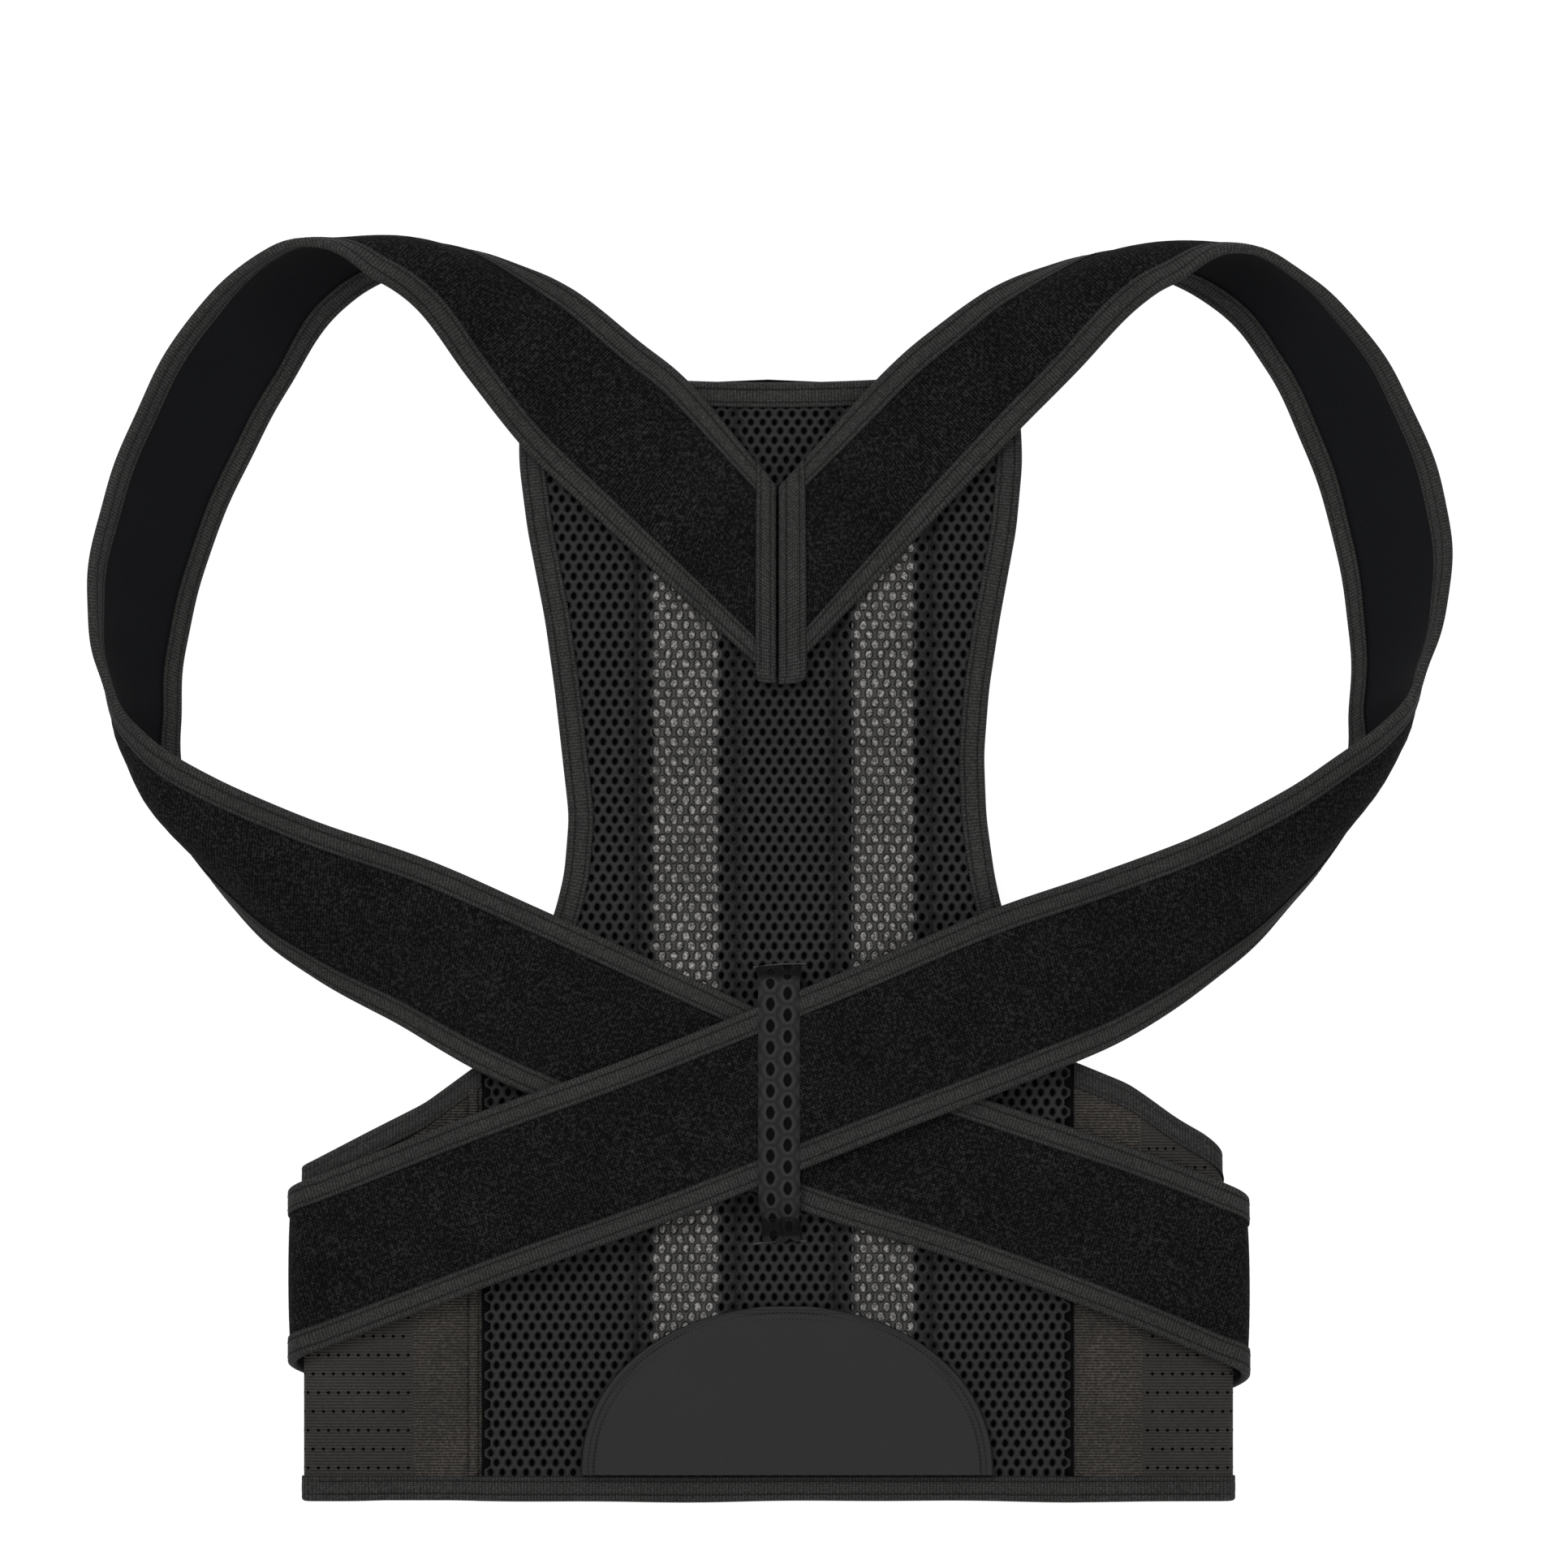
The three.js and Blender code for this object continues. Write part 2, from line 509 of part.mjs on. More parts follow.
// The two edges that the panel's layers have at a height, inside the binding and its rounded corners.
function panelEdges(y) {
  const level = BACK_LENGTH - CORNER_RADIUS;
  const radius = CORNER_RADIUS - INSET;
  const rise = Math.max(0, y - level);
  const inset = INSET + radius - Math.sqrt(Math.max(0, radius ** 2 - rise ** 2));
  const place = Math.min(y, level);
  return {
    left: readTable(OUTLINE.left, "y", "x", place) + inset,
    right: readTable(OUTLINE.right, "y", "x", place) - inset,
  };
}

// Heights of the rings that a layer of the panel is lofted through.
function panelRows() {
  const level = BACK_LENGTH - CORNER_RADIUS;
  const straight = OUTLINE.left.map((point) => point.y).filter((y) => y > TAPE_WIDTH + 1 && y <= level);
  const corner = [22, 45, 68, 90].map((angle) => level + (CORNER_RADIUS - INSET) * Math.sin(degrees(angle)));
  return [INSET, beltTop, ...straight, ...corner].sort((a, b) => a - b);
}

// How far a point near the top edge dips with it.
function topDip(x, y, edges) {
  const rise = clamp01((y - BACK_LENGTH + CORNER_RADIUS) / CORNER_RADIUS);
  return TOP_DIP * rise * Math.sin(Math.PI * clamp01((x - edges.left) / (edges.right - edges.left)));
}

// A layer of the panel between two height functions, bounded by the binding. columns are shares across it.
function panelLayer(columns, low, high) {
  const rings = panelRows().map((y) => {
    const edges = panelEdges(y);
    const points = columns.map((share) => {
      const x = THREE.MathUtils.lerp(edges.left, edges.right, share);
      return { x, y: y - topDip(x, y, edges) };
    });
    const top = points.map((p) => new THREE.Vector3(p.x, p.y, panelLevel(p.y) + high(p.x, p.y)));
    const bottom = points.map((p) => new THREE.Vector3(p.x, p.y, panelLevel(p.y) + low(p.x, p.y)));
    return [...top, ...bottom.reverse()];
  });
  return loft(rings);
}

// How far the mesh stands up over the stays.
function channelRaise(x, y) {
  const half = STAY_WIDTH / 2 + CLEARANCE;
  const beside = Math.abs(Math.abs(x - STAY_MIDDLE) - STAY_SPACING / 2) - half;
  const beyond = Math.max(STAY_BOTTOM - y, y - STAY_TOP);
  return STAY_RAISE * (1 - clamp01(Math.max(beside, beyond) / CHANNEL_FLANK));
}

// The mesh has a column of points at each side of every channel, whatever the panel's width is there.
function meshLayer() {
  const half = STAY_WIDTH / 2 + CLEARANCE;
  const lines = [-1, 1].flatMap((side) => [-1, 1].flatMap((edge) => {
    const inner = STAY_MIDDLE + side * (STAY_SPACING / 2) + edge * half;
    return [inner, inner + edge * CHANNEL_FLANK];
  })).sort((a, b) => a - b);
  lines.splice(lines.length / 2, 0, STAY_MIDDLE);
  const rows = new Set([...panelRows(), STAY_BOTTOM - CHANNEL_FLANK, STAY_BOTTOM - CLEARANCE]);
  for (const y of [STAY_TOP + CLEARANCE, STAY_TOP + CHANNEL_FLANK]) rows.add(y);
  const rings = [...rows].sort((a, b) => a - b).map((y) => {
    const edges = panelEdges(y);
    const points = [edges.left, ...lines, edges.right].map((x) => ({ x, y: y - topDip(x, y, edges) }));
    const low = (p) => panelLevel(p.y) + MESH_LEVEL + channelRaise(p.x, p.y);
    const top = points.map((p) => new THREE.Vector3(p.x, p.y, low(p) + PANEL_MESH));
    const bottom = points.map((p) => new THREE.Vector3(p.x, p.y, low(p)));
    return [...top, ...bottom.reverse()];
  });
  return loft(rings);
}

// A folded tape along a run of plan points, with the cloth that it covers on the left of the run when
// inward is 1. Its plies lie below and above the layers from low to high.
function edgeTape(points, inward, low, high, fold = null) {
  const outline = tapeOutline(TAPE_WIDTH, 0, 1);
  const rings = points.map((point, number) => {
    const before = points[Math.max(0, number - 1)];
    const after = points[Math.min(points.length - 1, number + 1)];
    const along = new THREE.Vector2(after.x - before.x, after.y - before.y).normalize();
    const across = fold ? new THREE.Vector2(0, -1) : new THREE.Vector2(-along.y * inward, along.x * inward);
    const stretch = high(point) - low(point) - 1;
    return outline.map(({ s, h }) => {
      const x = point.x + across.x * s;
      const y = point.y + across.y * s;
      const rise = low(point) + (h > 0.5 ? h + stretch : h);
      const corner = new THREE.Vector3(x, y, (fold ? sideLevel(x, y) : panelLevel(y)) + rise);
      return fold ? foldPoint(corner, fold) : corner;
    });
  });
  return loft(rings);
}

function panelBinding() {
  const start = readTable(BELT_TOP_LEFT, "x", "y", 0) * BACK_LENGTH + CLEARANCE;
  const clear = (point) => point.y > start;
  const cut = (side) => ({ x: readTable(OUTLINE[side], "y", "x", start), y: start });
  const left = [cut("left"), ...OUTLINE.left.filter(clear)];
  const right = [cut("right"), ...OUTLINE.right.filter(clear)].reverse();
  return edgeTape([...left, ...OUTLINE.top, ...right], -1, () => 0, () => MESH_TOP);
}

// The tape along the upper edge of one side of the belt, round the fold and along its wing.
function beltBinding(side, table, fold) {
  const first = table[0].x * BELT_HALF + INSET + CLEARANCE;
  const last = wingRun(fold);
  const points = sidePlaces(first, last, table, fold).map((x) => ({
    x: side * x, y: BACK_LENGTH * readTable(table, "x", "y", x / BELT_HALF),
  }));
  return edgeTape(points, -side, () => 0, () => ELASTIC, fold);
}

// The tape along the hem: over the panel in the middle, over the belt's sides and both wings beyond.
function hemBinding() {
  const runs = [[-1, LEFT_FOLD], [1, RIGHT_FOLD]].map(([side, fold]) => {
    const edge = side < 0 ? -MESH_LEFT : MESH_RIGHT;
    return [edge, ...sidePlaces(edge + HEM_STEP, wingRun(fold), [], fold)].map((x) => side * x);
  });
  const outline = tapeOutline(TAPE_WIDTH, 0, 1);
  const rings = [...runs[0].reverse(), 0, ...runs[1]].map((x) => outline.map(({ s, h }) => {
    const onPanel = x >= MESH_LEFT && x <= MESH_RIGHT;
    const rise = h > 0.5 ? h - 1 + (onPanel ? MESH_TOP : ELASTIC) : h;
    return foldPoint(new THREE.Vector3(x, s, BELT_LEVEL + rise), x < 0 ? LEFT_FOLD : RIGHT_FOLD);
  }));
  return loft(rings);
}

// A stay: a flat bar between the base and the mesh.
function stay(side) {
  const outline = barOutline(STAY_WIDTH / 2, STAY_THICKNESS);
  return loft([STAY_BOTTOM, beltTop, STAY_TOP].map((y) => outline.map(({ s, h }) =>
    new THREE.Vector3(STAY_MIDDLE + side * (STAY_SPACING / 2) + s, y, panelLevel(y) + MESH_LEVEL + h))));
}

// The smooth patch low on the panel: a half round above the hem tape.
function lumbarPatch() {
  const bottom = TAPE_WIDTH + 2 * CLEARANCE;
  const steps = 12;
  const columns = [-1, -0.5, 0, 0.5, 1];
  const rings = [];
  for (let step = 0; step < steps; step += 1) {
    const rise = Math.sin(degrees((84 * step) / (steps - 1)));
    const half = PATCH_HALF * Math.sqrt(1 - rise ** 2.2);
    const y = bottom + PATCH_HEIGHT * rise;
    const z = BELT_LEVEL + PANEL_STACK;
    const top = columns.map((share) => new THREE.Vector3(PATCH_OFFSET + share * half, y, z + PATCH_THICKNESS));
    const under = columns.map((share) => new THREE.Vector3(PATCH_OFFSET + share * half, y, z));
    rings.push([...top, ...under.reverse()]);
  }
  return loft(rings);
}

// The mesh loop that holds the crossing: flat on the panel at both ends, over both straps between them.
function keeper() {
  const top = KEEPER_TOP * BACK_LENGTH;
  const high = PANEL_STACK + TAPED_STRAP + STRAP_STEP;
  const low = MESH_TOP + CLEARANCE;
  const runs = [0, 2, KEEPER_RAMP, KEEPER_RAMP + 4, KEEPER_LENGTH / 2, top - beltTop];
  const heights = [low, low, high - 1, high, high, high];
  const end = KEEPER_LENGTH;
  const places = [...runs, end - KEEPER_FOOT - 4, end - KEEPER_FOOT, end - 2, end];
  const levels = [...heights, high, high - 1, low, low];
  const outline = barOutline(KEEPER_WIDTH / 2, KEEPER_THICKNESS);
  return loft(places.map((run, number) => {
    const y = top - run;
    const level = panelLevel(y) + levels[number];
    return outline.map(({ s, h }) => new THREE.Vector3(KEEPER_OFFSET + s, y, level + h));
  }));
}

// The raised channel beside the left ribbed strip.
function boningChannel() {
  const inner = -MESH_LEFT + INSET + CLEARANCE;
  const top = (x) => Math.min(beltTopLeft(x), beltTop) - TAPE_WIDTH;
  const low = ELASTIC + CLEARANCE;
  const bottom = TAPE_WIDTH + CLEARANCE;
  return sideLayer(-1, inner, inner + BONING_WIDTH, top, low, low + BONING_HEIGHT, { bottom });
}

// The hook field on the outer wing's end, facing the inner wing.
function hookPatch() {
  const half = HOOK_LENGTH / 2;
  const z = OUTER_WING + ELASTIC + CLEARANCE;
  const top = BACK_LENGTH * BELT_TOP_RIGHT[6].y - TAPE_WIDTH - HOOK_MARGIN;
  const bottom = TAPE_WIDTH + HOOK_MARGIN;
  const geometry = new THREE.BoxGeometry(HOOK_LENGTH, top - bottom, HOOK_THICKNESS);
  geometry.translate(half - WING_OVERLAP / 2 + HOOK_MARGIN, (top + bottom) / 2, z + HOOK_THICKNESS / 2);
  return geometry;
}

// The hook tab on the inner side of a strap's end, which fastens it to the wing behind.
function hookTab(strap) {
  const start = strap.last - TAB_LENGTH / strap.middle(strap.last).distanceTo(strap.middle(strap.last - 1));
  const low = -STRAP_CORE / 2 - CLEARANCE;
  const outline = [[0, low], [1, low], [1, low - TAB_THICKNESS], [0, low - TAB_THICKNESS]];
  const finish = strap.last - INSET / STRAP_TAIL;
  const rings = [start, (start + finish) / 2, finish].map((t) => {
    const frame = strap.frame(t);
    const margin = (TAPE_WIDTH + TAB_MARGIN) / frame.length;
    return outline.map(([side, h]) => strap.at(t, margin + side * (1 - 2 * margin), h, frame));
  });
  return loft(rings);
}

const part = new THREE.Group();

function addPiece(name, geometry, fabric) {
  const mesh = new THREE.Mesh(geometry, new THREE.MeshStandardMaterial(FABRICS[fabric]));
  mesh.name = name;
  part.add(mesh);
}

addPiece("back_panel", panelLayer([0, ...TOP_SHARES, 1], () => 0, () => PANEL_BASE), "lining");
addPiece("panel_mesh", meshLayer(), "mesh");
addPiece("stay_left", stay(-1), "stay");
addPiece("stay_right", stay(1), "stay");
addPiece("panel_binding", panelBinding(), "tape");
addPiece("lumbar_patch", lumbarPatch(), "patch");
addPiece("keeper", keeper(), "mesh");
addPiece("hem_binding", hemBinding(), "tape");
addPiece("boning_channel_left", boningChannel(), "ribbed");
addPiece("hook_patch", hookPatch(), "hook");

for (const [name, side, table, beltEdge, fold, inner] of [
  ["left", -1, BELT_TOP_LEFT, beltTopLeft, LEFT_FOLD, -MESH_LEFT],
  ["right", 1, BELT_TOP_RIGHT, beltTopRight, RIGHT_FOLD, MESH_RIGHT],
]) {
  const seam = inner + RIBBED_STRIP_WIDTH;
  const from = inner + CLEARANCE;
  const strip = sideLayer(side, from, seam, beltEdge, 0, ELASTIC, { rows: table });
  addPiece(`ribbed_strip_${name}`, strip, "ribbed");
  const elastic = sideLayer(side, seam + CLEARANCE, wingRun(fold), beltEdge, 0, ELASTIC, { fold, rows: table });
  addPiece(`elastic_${name}`, elastic, "elastic");
  addPiece(`belt_binding_${name}`, beltBinding(side, table, fold), "tape");
}

for (const [name, side, rows, yokeShare] of [
  ["left", -1, LEFT_STRAP, 0.1],
  ["right", 1, RIGHT_STRAP, 0.12],
]) {
  const strap = new StrapSurface(rows, -side);
  const firstGap = CLEARANCE / STRAP_WIDTH;
  addPiece(`strap_${name}`, strapCore(strap, (1.5 * INSET) / STRAP_WIDTH), "loop");
  addPiece(`neck_tape_${name}`, strapTape(strap, yokeShare + firstGap, false), "tape");
  addPiece(`arm_tape_${name}`, strapTape(strap, yokeShare + firstGap, true), "tape");
  addPiece(`yoke_tape_${name}`, yokeTape(strap, yokeShare), "tape");
  addPiece(`hook_tab_${name}`, hookTab(strap), "hook");
}

// Sets the part on the middle of its footprint, with its lowest point at zero.
const bounds = new THREE.Box3().setFromObject(part);
const middle = bounds.getCenter(new THREE.Vector3());
part.position.set(-middle.x, -middle.y, -bounds.min.z);

export default part;
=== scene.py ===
"""Dresses the posture corrector: cloth, tapes, open mesh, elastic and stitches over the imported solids.

Lengths are in millimetres in the brace's own lay, with the middle of the hem at the origin, and every mesh is
brought to metres and to the frame of the solids as it is made.
"""
from __future__ import annotations

import json
import logging
import math
from dataclasses import dataclass, field
from enum import Enum
from typing import Callable, Sequence

import bpy
import numpy as np
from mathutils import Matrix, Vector

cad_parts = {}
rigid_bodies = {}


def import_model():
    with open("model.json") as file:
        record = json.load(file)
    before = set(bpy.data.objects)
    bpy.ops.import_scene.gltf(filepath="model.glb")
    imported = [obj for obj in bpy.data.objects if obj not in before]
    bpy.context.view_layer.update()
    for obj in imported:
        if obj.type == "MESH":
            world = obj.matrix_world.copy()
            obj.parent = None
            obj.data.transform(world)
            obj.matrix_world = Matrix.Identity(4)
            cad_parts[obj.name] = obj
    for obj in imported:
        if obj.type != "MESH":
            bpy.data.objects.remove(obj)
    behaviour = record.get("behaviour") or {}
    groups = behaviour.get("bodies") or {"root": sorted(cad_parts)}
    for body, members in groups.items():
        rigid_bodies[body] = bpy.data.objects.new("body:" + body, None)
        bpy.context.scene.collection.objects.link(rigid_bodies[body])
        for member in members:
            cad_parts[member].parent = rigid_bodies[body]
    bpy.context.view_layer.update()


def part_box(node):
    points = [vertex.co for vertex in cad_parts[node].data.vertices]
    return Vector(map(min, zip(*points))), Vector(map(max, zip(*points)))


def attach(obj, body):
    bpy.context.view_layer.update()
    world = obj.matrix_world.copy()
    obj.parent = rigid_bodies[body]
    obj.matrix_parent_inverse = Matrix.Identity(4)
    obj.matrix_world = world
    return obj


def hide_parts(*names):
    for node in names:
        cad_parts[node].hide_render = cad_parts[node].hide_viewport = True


LOG = logging.getLogger("posture_corrector")
UP = np.array([0.0, 0.0, 1.0])
WEAVE_MM = 10.0

# Half outlines of the panel: where each side lies (share of the belt's half width) at a share of the length.
PANEL_SIDES = np.array([
    (0.0, -0.617, 0.657), (0.39, -0.617, 0.657), (0.43, -0.562, 0.62), (0.47, -0.508, 0.566),
    (0.524, -0.459, 0.503), (0.556, -0.44, 0.486), (0.607, -0.43, 0.469), (0.662, -0.445, 0.464),
    (0.72, -0.461, 0.475), (0.782, -0.482, 0.498), (0.862, -0.52, 0.534), (0.92, -0.538, 0.547),
    (1.0, -0.538, 0.541),
])
# How far its top corners lie to the left and right, as the last row has it.
PANEL_TOP = (0.538, 0.541)

# Upper edge of the belt beside the panel: distance from the centre line, then height.
BELT_TOP_LEFT = np.array([
    (0.617, 0.39), (0.74, 0.353), (0.86, 0.328), (1.0, 0.298), (1.3, 0.28), (2.2, 0.24),
])
BELT_TOP_RIGHT = np.array([
    (0.657, 0.39), (0.776, 0.37), (0.894, 0.341), (0.965, 0.326), (1.04, 0.3), (1.3, 0.28), (2.2, 0.24),
])

# Sections of the straps: x, y, turn, lean, width, bow, lift, over, as in the part's own tables.
LEFT_STRAP = np.array([
    (0.0165, 0.9, 270, 0, 1.18, 0, 1, 0), (-0.179, 0.996, 229, 0, 0.98, 0, 1, 0),
    (-0.272, 1.027, 222, 1, 0.95, 0, 0.9, 0), (-0.427, 1.076, 222, 13, 0.84, 0.06, 0.5, 0),
    (-0.569, 1.1, 210, 36, 0.74, 0.12, 0.15, 0), (-0.709, 1.106, 202, 57, 0.76, 0.15, 0, 0),
    (-0.838, 1.082, 148, 61, 0.8, 0.13, 0, 0), (-0.932, 1.052, 141, 53, 0.9, 0.13, 0, 0),
    (-1.04, 0.987, 140, 46, 0.98, 0.05, 0, 0), (-1.127, 0.917, 145, 44, 0.98, 0.05, 0, 0),
    (-1.21, 0.838, 146, 45, 0.98, 0.05, 0, 0), (-1.255, 0.763, 150, 49, 0.96, 0.07, 0, 0),
    (-1.269, 0.698, 147, 54, 0.93, 0.11, 0, 0), (-1.268, 0.647, 132, 60, 0.87, 0.17, 0, 0),
    (-1.231, 0.583, 102, 53, 0.88, 0.18, 0, 0), (-1.135, 0.519, 88, 38, 0.95, 0.11, 0.03, 0),
    (-0.977, 0.464, 86, 24, 1.01, 0.05, 0.15, 0), (-0.791, 0.421, 80, 11, 1.03, 0.02, 0.5, 0),
    (-0.622, 0.381, 74, 1, 1.05, 0, 1, 0), (-0.326, 0.327, 68, 0, 1.03, 0, 1, 0),
    (0.073, 0.258, 70, 0, 1.0, 0, 1, 0), (0.385, 0.217, 72, 0, 0.97, 0, 1, 0),
    (0.773, 0.158, 73, 0, 1.0, 0, 1, 0), (1.15, 0.092, 73, 0, 1.0, 0, 1, 0),
])
RIGHT_STRAP = np.array([
    (0.0215, 0.899, 270, 0, 1.18, 0, 1, 0), (0.256, 1.005, 315, 0, 0.83, 0, 1, 0),
    (0.345, 1.037, 314, 1, 0.8, 0, 0.9, 0), (0.484, 1.076, 314, 16, 0.74, 0.08, 0.5, 0),
    (0.632, 1.098, 326, 40, 0.68, 0.12, 0.15, 0), (0.763, 1.1, 338, 62, 0.74, 0.14, 0, 0),
    (0.869, 1.082, 387, 61, 0.8, 0.12, 0, 0), (0.98, 1.052, 394, 57, 0.86, 0.15, 0, 0),
    (1.076, 1.004, 393, 52, 0.91, 0.11, 0, 0), (1.154, 0.935, 388, 47, 0.94, 0.09, 0, 0),
    (1.221, 0.853, 387, 45, 0.97, 0.05, 0, 0), (1.254, 0.77, 393, 47, 0.98, 0.04, 0, 0),
    (1.255, 0.698, 400, 51, 0.96, 0.07, 0, 0), (1.25, 0.651, 411, 58, 0.89, 0.15, 0, 0),
    (1.215, 0.586, 440, 51, 0.9, 0.13, 0, 0), (1.111, 0.524, 452, 40, 0.93, 0.12, 0.03, 0),
    (0.963, 0.464, 460, 26, 0.95, 0.06, 0.15, 0), (0.789, 0.414, 465, 11, 1.01, 0.02, 0.5, 0.2),
    (0.597, 0.379, 467, 1, 1.04, 0, 1, 0.8), (0.266, 0.326, 470, 0, 1.01, 0, 1, 1),
    (-0.193, 0.252, 469, 0, 1.0, 0, 1, 1), (-0.45, 0.214, 467, 0, 1.0, 0, 1, 1),
    (-0.583, 0.194, 465, 0, 1.0, 0, 1, 0.35), (-0.87, 0.149, 465, 0, 0.99, 0, 1, 0),
    (-1.21, 0.097, 465, 0, 1.0, 0, 1, 0),
])
X, Y, TURN, LEAN, WIDTH, BOW, LIFT, OVER = range(8)


class Side(Enum):
    """The side of the brace as the picture shows it."""

    LEFT = -1
    RIGHT = 1

    @property
    def label(self) -> str:
        """The side's word in a piece's name."""
        return self.name.lower()


def ease(value: np.ndarray) -> np.ndarray:
    """A smooth step from 0 to 1."""
    share = np.clip(value, 0.0, 1.0)
    return share**2 * (3 - 2 * share)


def bell(distance: np.ndarray, width: float) -> np.ndarray:
    """A soft hump that is 1 at no distance and falls off over a width."""
    return np.exp(-((distance / width) ** 2))


def spread(*parts: np.ndarray | float) -> np.ndarray:
    """Points from their coordinates, any of which may be one number for all."""
    return np.stack(np.broadcast_arrays(*parts), -1)


def both_faces(values: np.ndarray) -> np.ndarray:
    """Values across a cloth's outer face, back across its inner face, and closed."""
    return np.concatenate([values, values[:, ::-1], values[:, :1]], 1)


@dataclass(frozen=True)
class Fold:
    """The fold of a layer round a side of the belt, from its upper level to its lower one."""

    upper: float
    lower: float
    reach: float

    @property
    def radius(self) -> float:
        """Radius of the middle of the folded layer."""
        return (self.upper - self.lower) / 2

    @property
    def start(self) -> float:
        """Distance from the centre line at which the layer begins to turn."""
        return self.reach - self.radius

    @property
    def arc(self) -> float:
        """Length of the half turn along the middle of the layer."""
        return math.pi * self.radius

    @property
    def turning(self) -> np.ndarray:
        """Distances from the centre line for close rings round the half turn."""
        return np.linspace(self.start - 1, self.start + self.arc + 1, 26)

    def carry(self, points: np.ndarray) -> np.ndarray:
        """Carries points of a layer laid out flat round the fold.

        Args:
            points: Points as an array whose last axis is x, y, z.

        Returns:
            The points after the fold.
        """
        out = points.copy()
        run = np.abs(points[..., 0]) - self.start
        side = np.sign(points[..., 0])
        height = points[..., 2] - self.upper
        angle = np.clip(run / self.radius, 0, math.pi)
        reach = self.radius + height
        turned_x = self.start + reach * np.sin(angle) - np.maximum(run - self.arc, 0)
        turned_z = (self.upper + self.lower) / 2 + reach * np.cos(angle)
        out[..., 0] = np.where(run > 0, side * turned_x, points[..., 0])
        out[..., 2] = np.where(run > 0, turned_z, points[..., 2])
        return out


@dataclass(frozen=True)
class Lay:
    """Sizes that all the pieces share, the levels that follow from them, and the way into the frame."""

    length: float = 486.5
    half: float = 200.5
    strap_width: float = 72.0
    strap_core: float = 2.0
    tape: float = 0.7
    tape_width: float = 11.0
    clearance: float = 0.3
    base: float = 2.4
    mesh: float = 2.2
    elastic: float = 1.6
    stay_width: float = 27.0
    stay: float = 1.6
    stay_spacing: float = 84.7
    stay_middle: float = 7.0
    stay_bottom: float = 58.0
    stay_top: float = 418.0
    corner: float = 24.0
    dip: float = 3.5
    ribbed_width: float = 29.5
    waist_gap: float = 5.2
    tail: float = 80.0
    overlap: float = 100.0
    belt_share: float = 0.298
    side_top: float = 0.39
    level_from: float = 0.8
    level_over: float = 0.15
    channel_flank: float = 3.4
    shift: tuple[float, float, float] = (0.0, 0.0, 0.0)

    @property
    def inset(self) -> float:
        """How far a tape's outer face stands off the cloth inside it."""
        return self.tape + self.clearance

    @property
    def strap_floor(self) -> float:
        """Half the thickness of a strap with its tapes."""
        return self.strap_core / 2 + self.inset

    @property
    def strap_step(self) -> float:
        """How far the upper strap lies above the lower one."""
        return 2 * self.strap_floor + 2 * self.clearance

    @property
    def outer_wing(self) -> float:
        """Underside of the right wing, which lies lowest."""
        return 2 * self.strap_floor + self.clearance + self.inset

    @property
    def inner_wing(self) -> float:
        """Underside of the left wing, which lies on the right one."""
        return self.outer_wing + self.elastic + 2 * self.inset + self.clearance

    @property
    def belt_level(self) -> float:
        """Underside of the panel over the belt."""
        return self.inner_wing + self.elastic + 2 * self.inset + self.waist_gap

    @property
    def mesh_low(self) -> float:
        """Underside of the mesh above the underside of the panel."""
        return self.base + self.clearance

    @property
    def mesh_top(self) -> float:
        """Upper face of the mesh above the underside of the panel."""
        return self.mesh_low + self.mesh

    @property
    def stay_raise(self) -> float:
        """How far the mesh stands up over the stays."""
        return self.stay + self.clearance

    @property
    def panel_stack(self) -> float:
        """Height of what lies on the panel above its underside."""
        return self.mesh_top + self.stay_raise + 2 * self.clearance

    @property
    def side_stack(self) -> float:
        """Height of what lies on the belt's side above its underside."""
        return self.elastic + self.inset + self.clearance

    @property
    def mesh_sides(self) -> tuple[float, float]:
        """Distances of the mesh's lower side edges from the centre line, left and right."""
        left, right = (abs(float(edge)) * self.half for edge in PANEL_SIDES[0, 1:])
        return left, right

    @property
    def belt_top(self) -> float:
        """Height at which the panel begins to slope down."""
        return self.length * self.belt_share

    def panel_level(self, y: np.ndarray) -> np.ndarray:
        """How high the underside of the panel lies."""
        slope = np.clip((y - self.belt_top) / (self.length - self.belt_top), 0, 1)
        return self.belt_level + (self.clearance + self.inset - self.belt_level) * slope

    def stack_height(self, x: np.ndarray) -> np.ndarray:
        """How high a strap lies above the underside of the panel or of the belt's sides."""
        edge = np.where(x < 0, self.mesh_sides[0], self.mesh_sides[1])
        share = ease((np.abs(x) - edge - self.tape_width) / self.ribbed_width)
        return self.panel_stack + (self.side_stack - self.panel_stack) * share

    def side_level(self, x: np.ndarray, y: np.ndarray) -> np.ndarray:
        """How high the underside of the belt's sides lies."""
        level = self.panel_level(y)
        share = ease((np.abs(x) / self.half - self.level_from) / self.level_over)
        return level + (self.belt_level - level) * share

    def strap_level(self, x: np.ndarray, y: np.ndarray) -> np.ndarray:
        """How high the middle of a strap lies where it rests on the panel."""
        return self.panel_level(y) + self.stack_height(x) + self.strap_floor

    def beside_stay(self, x: np.ndarray) -> np.ndarray:
        """How far a place lies from the middle line of the nearest stay."""
        return np.abs(np.abs(x - self.stay_middle) - self.stay_spacing / 2)

    def channel_raise(self, x: np.ndarray, y: np.ndarray) -> np.ndarray:
        """How far the mesh stands up over the stays at a place."""
        half = self.stay_width / 2 + self.clearance
        beside = self.beside_stay(x) - half
        beyond = np.maximum(self.stay_bottom - y, y - self.stay_top)
        return self.stay_raise * (1 - ease(np.maximum(beside, beyond) / self.channel_flank))

    def belt_fold(self, side: Side) -> Fold:
        """The fold of the belt on a side."""
        lower = self.inner_wing if side is Side.LEFT else self.outer_wing
        middle = self.elastic / 2
        return Fold(self.belt_level + middle, lower + middle, self.half - middle)

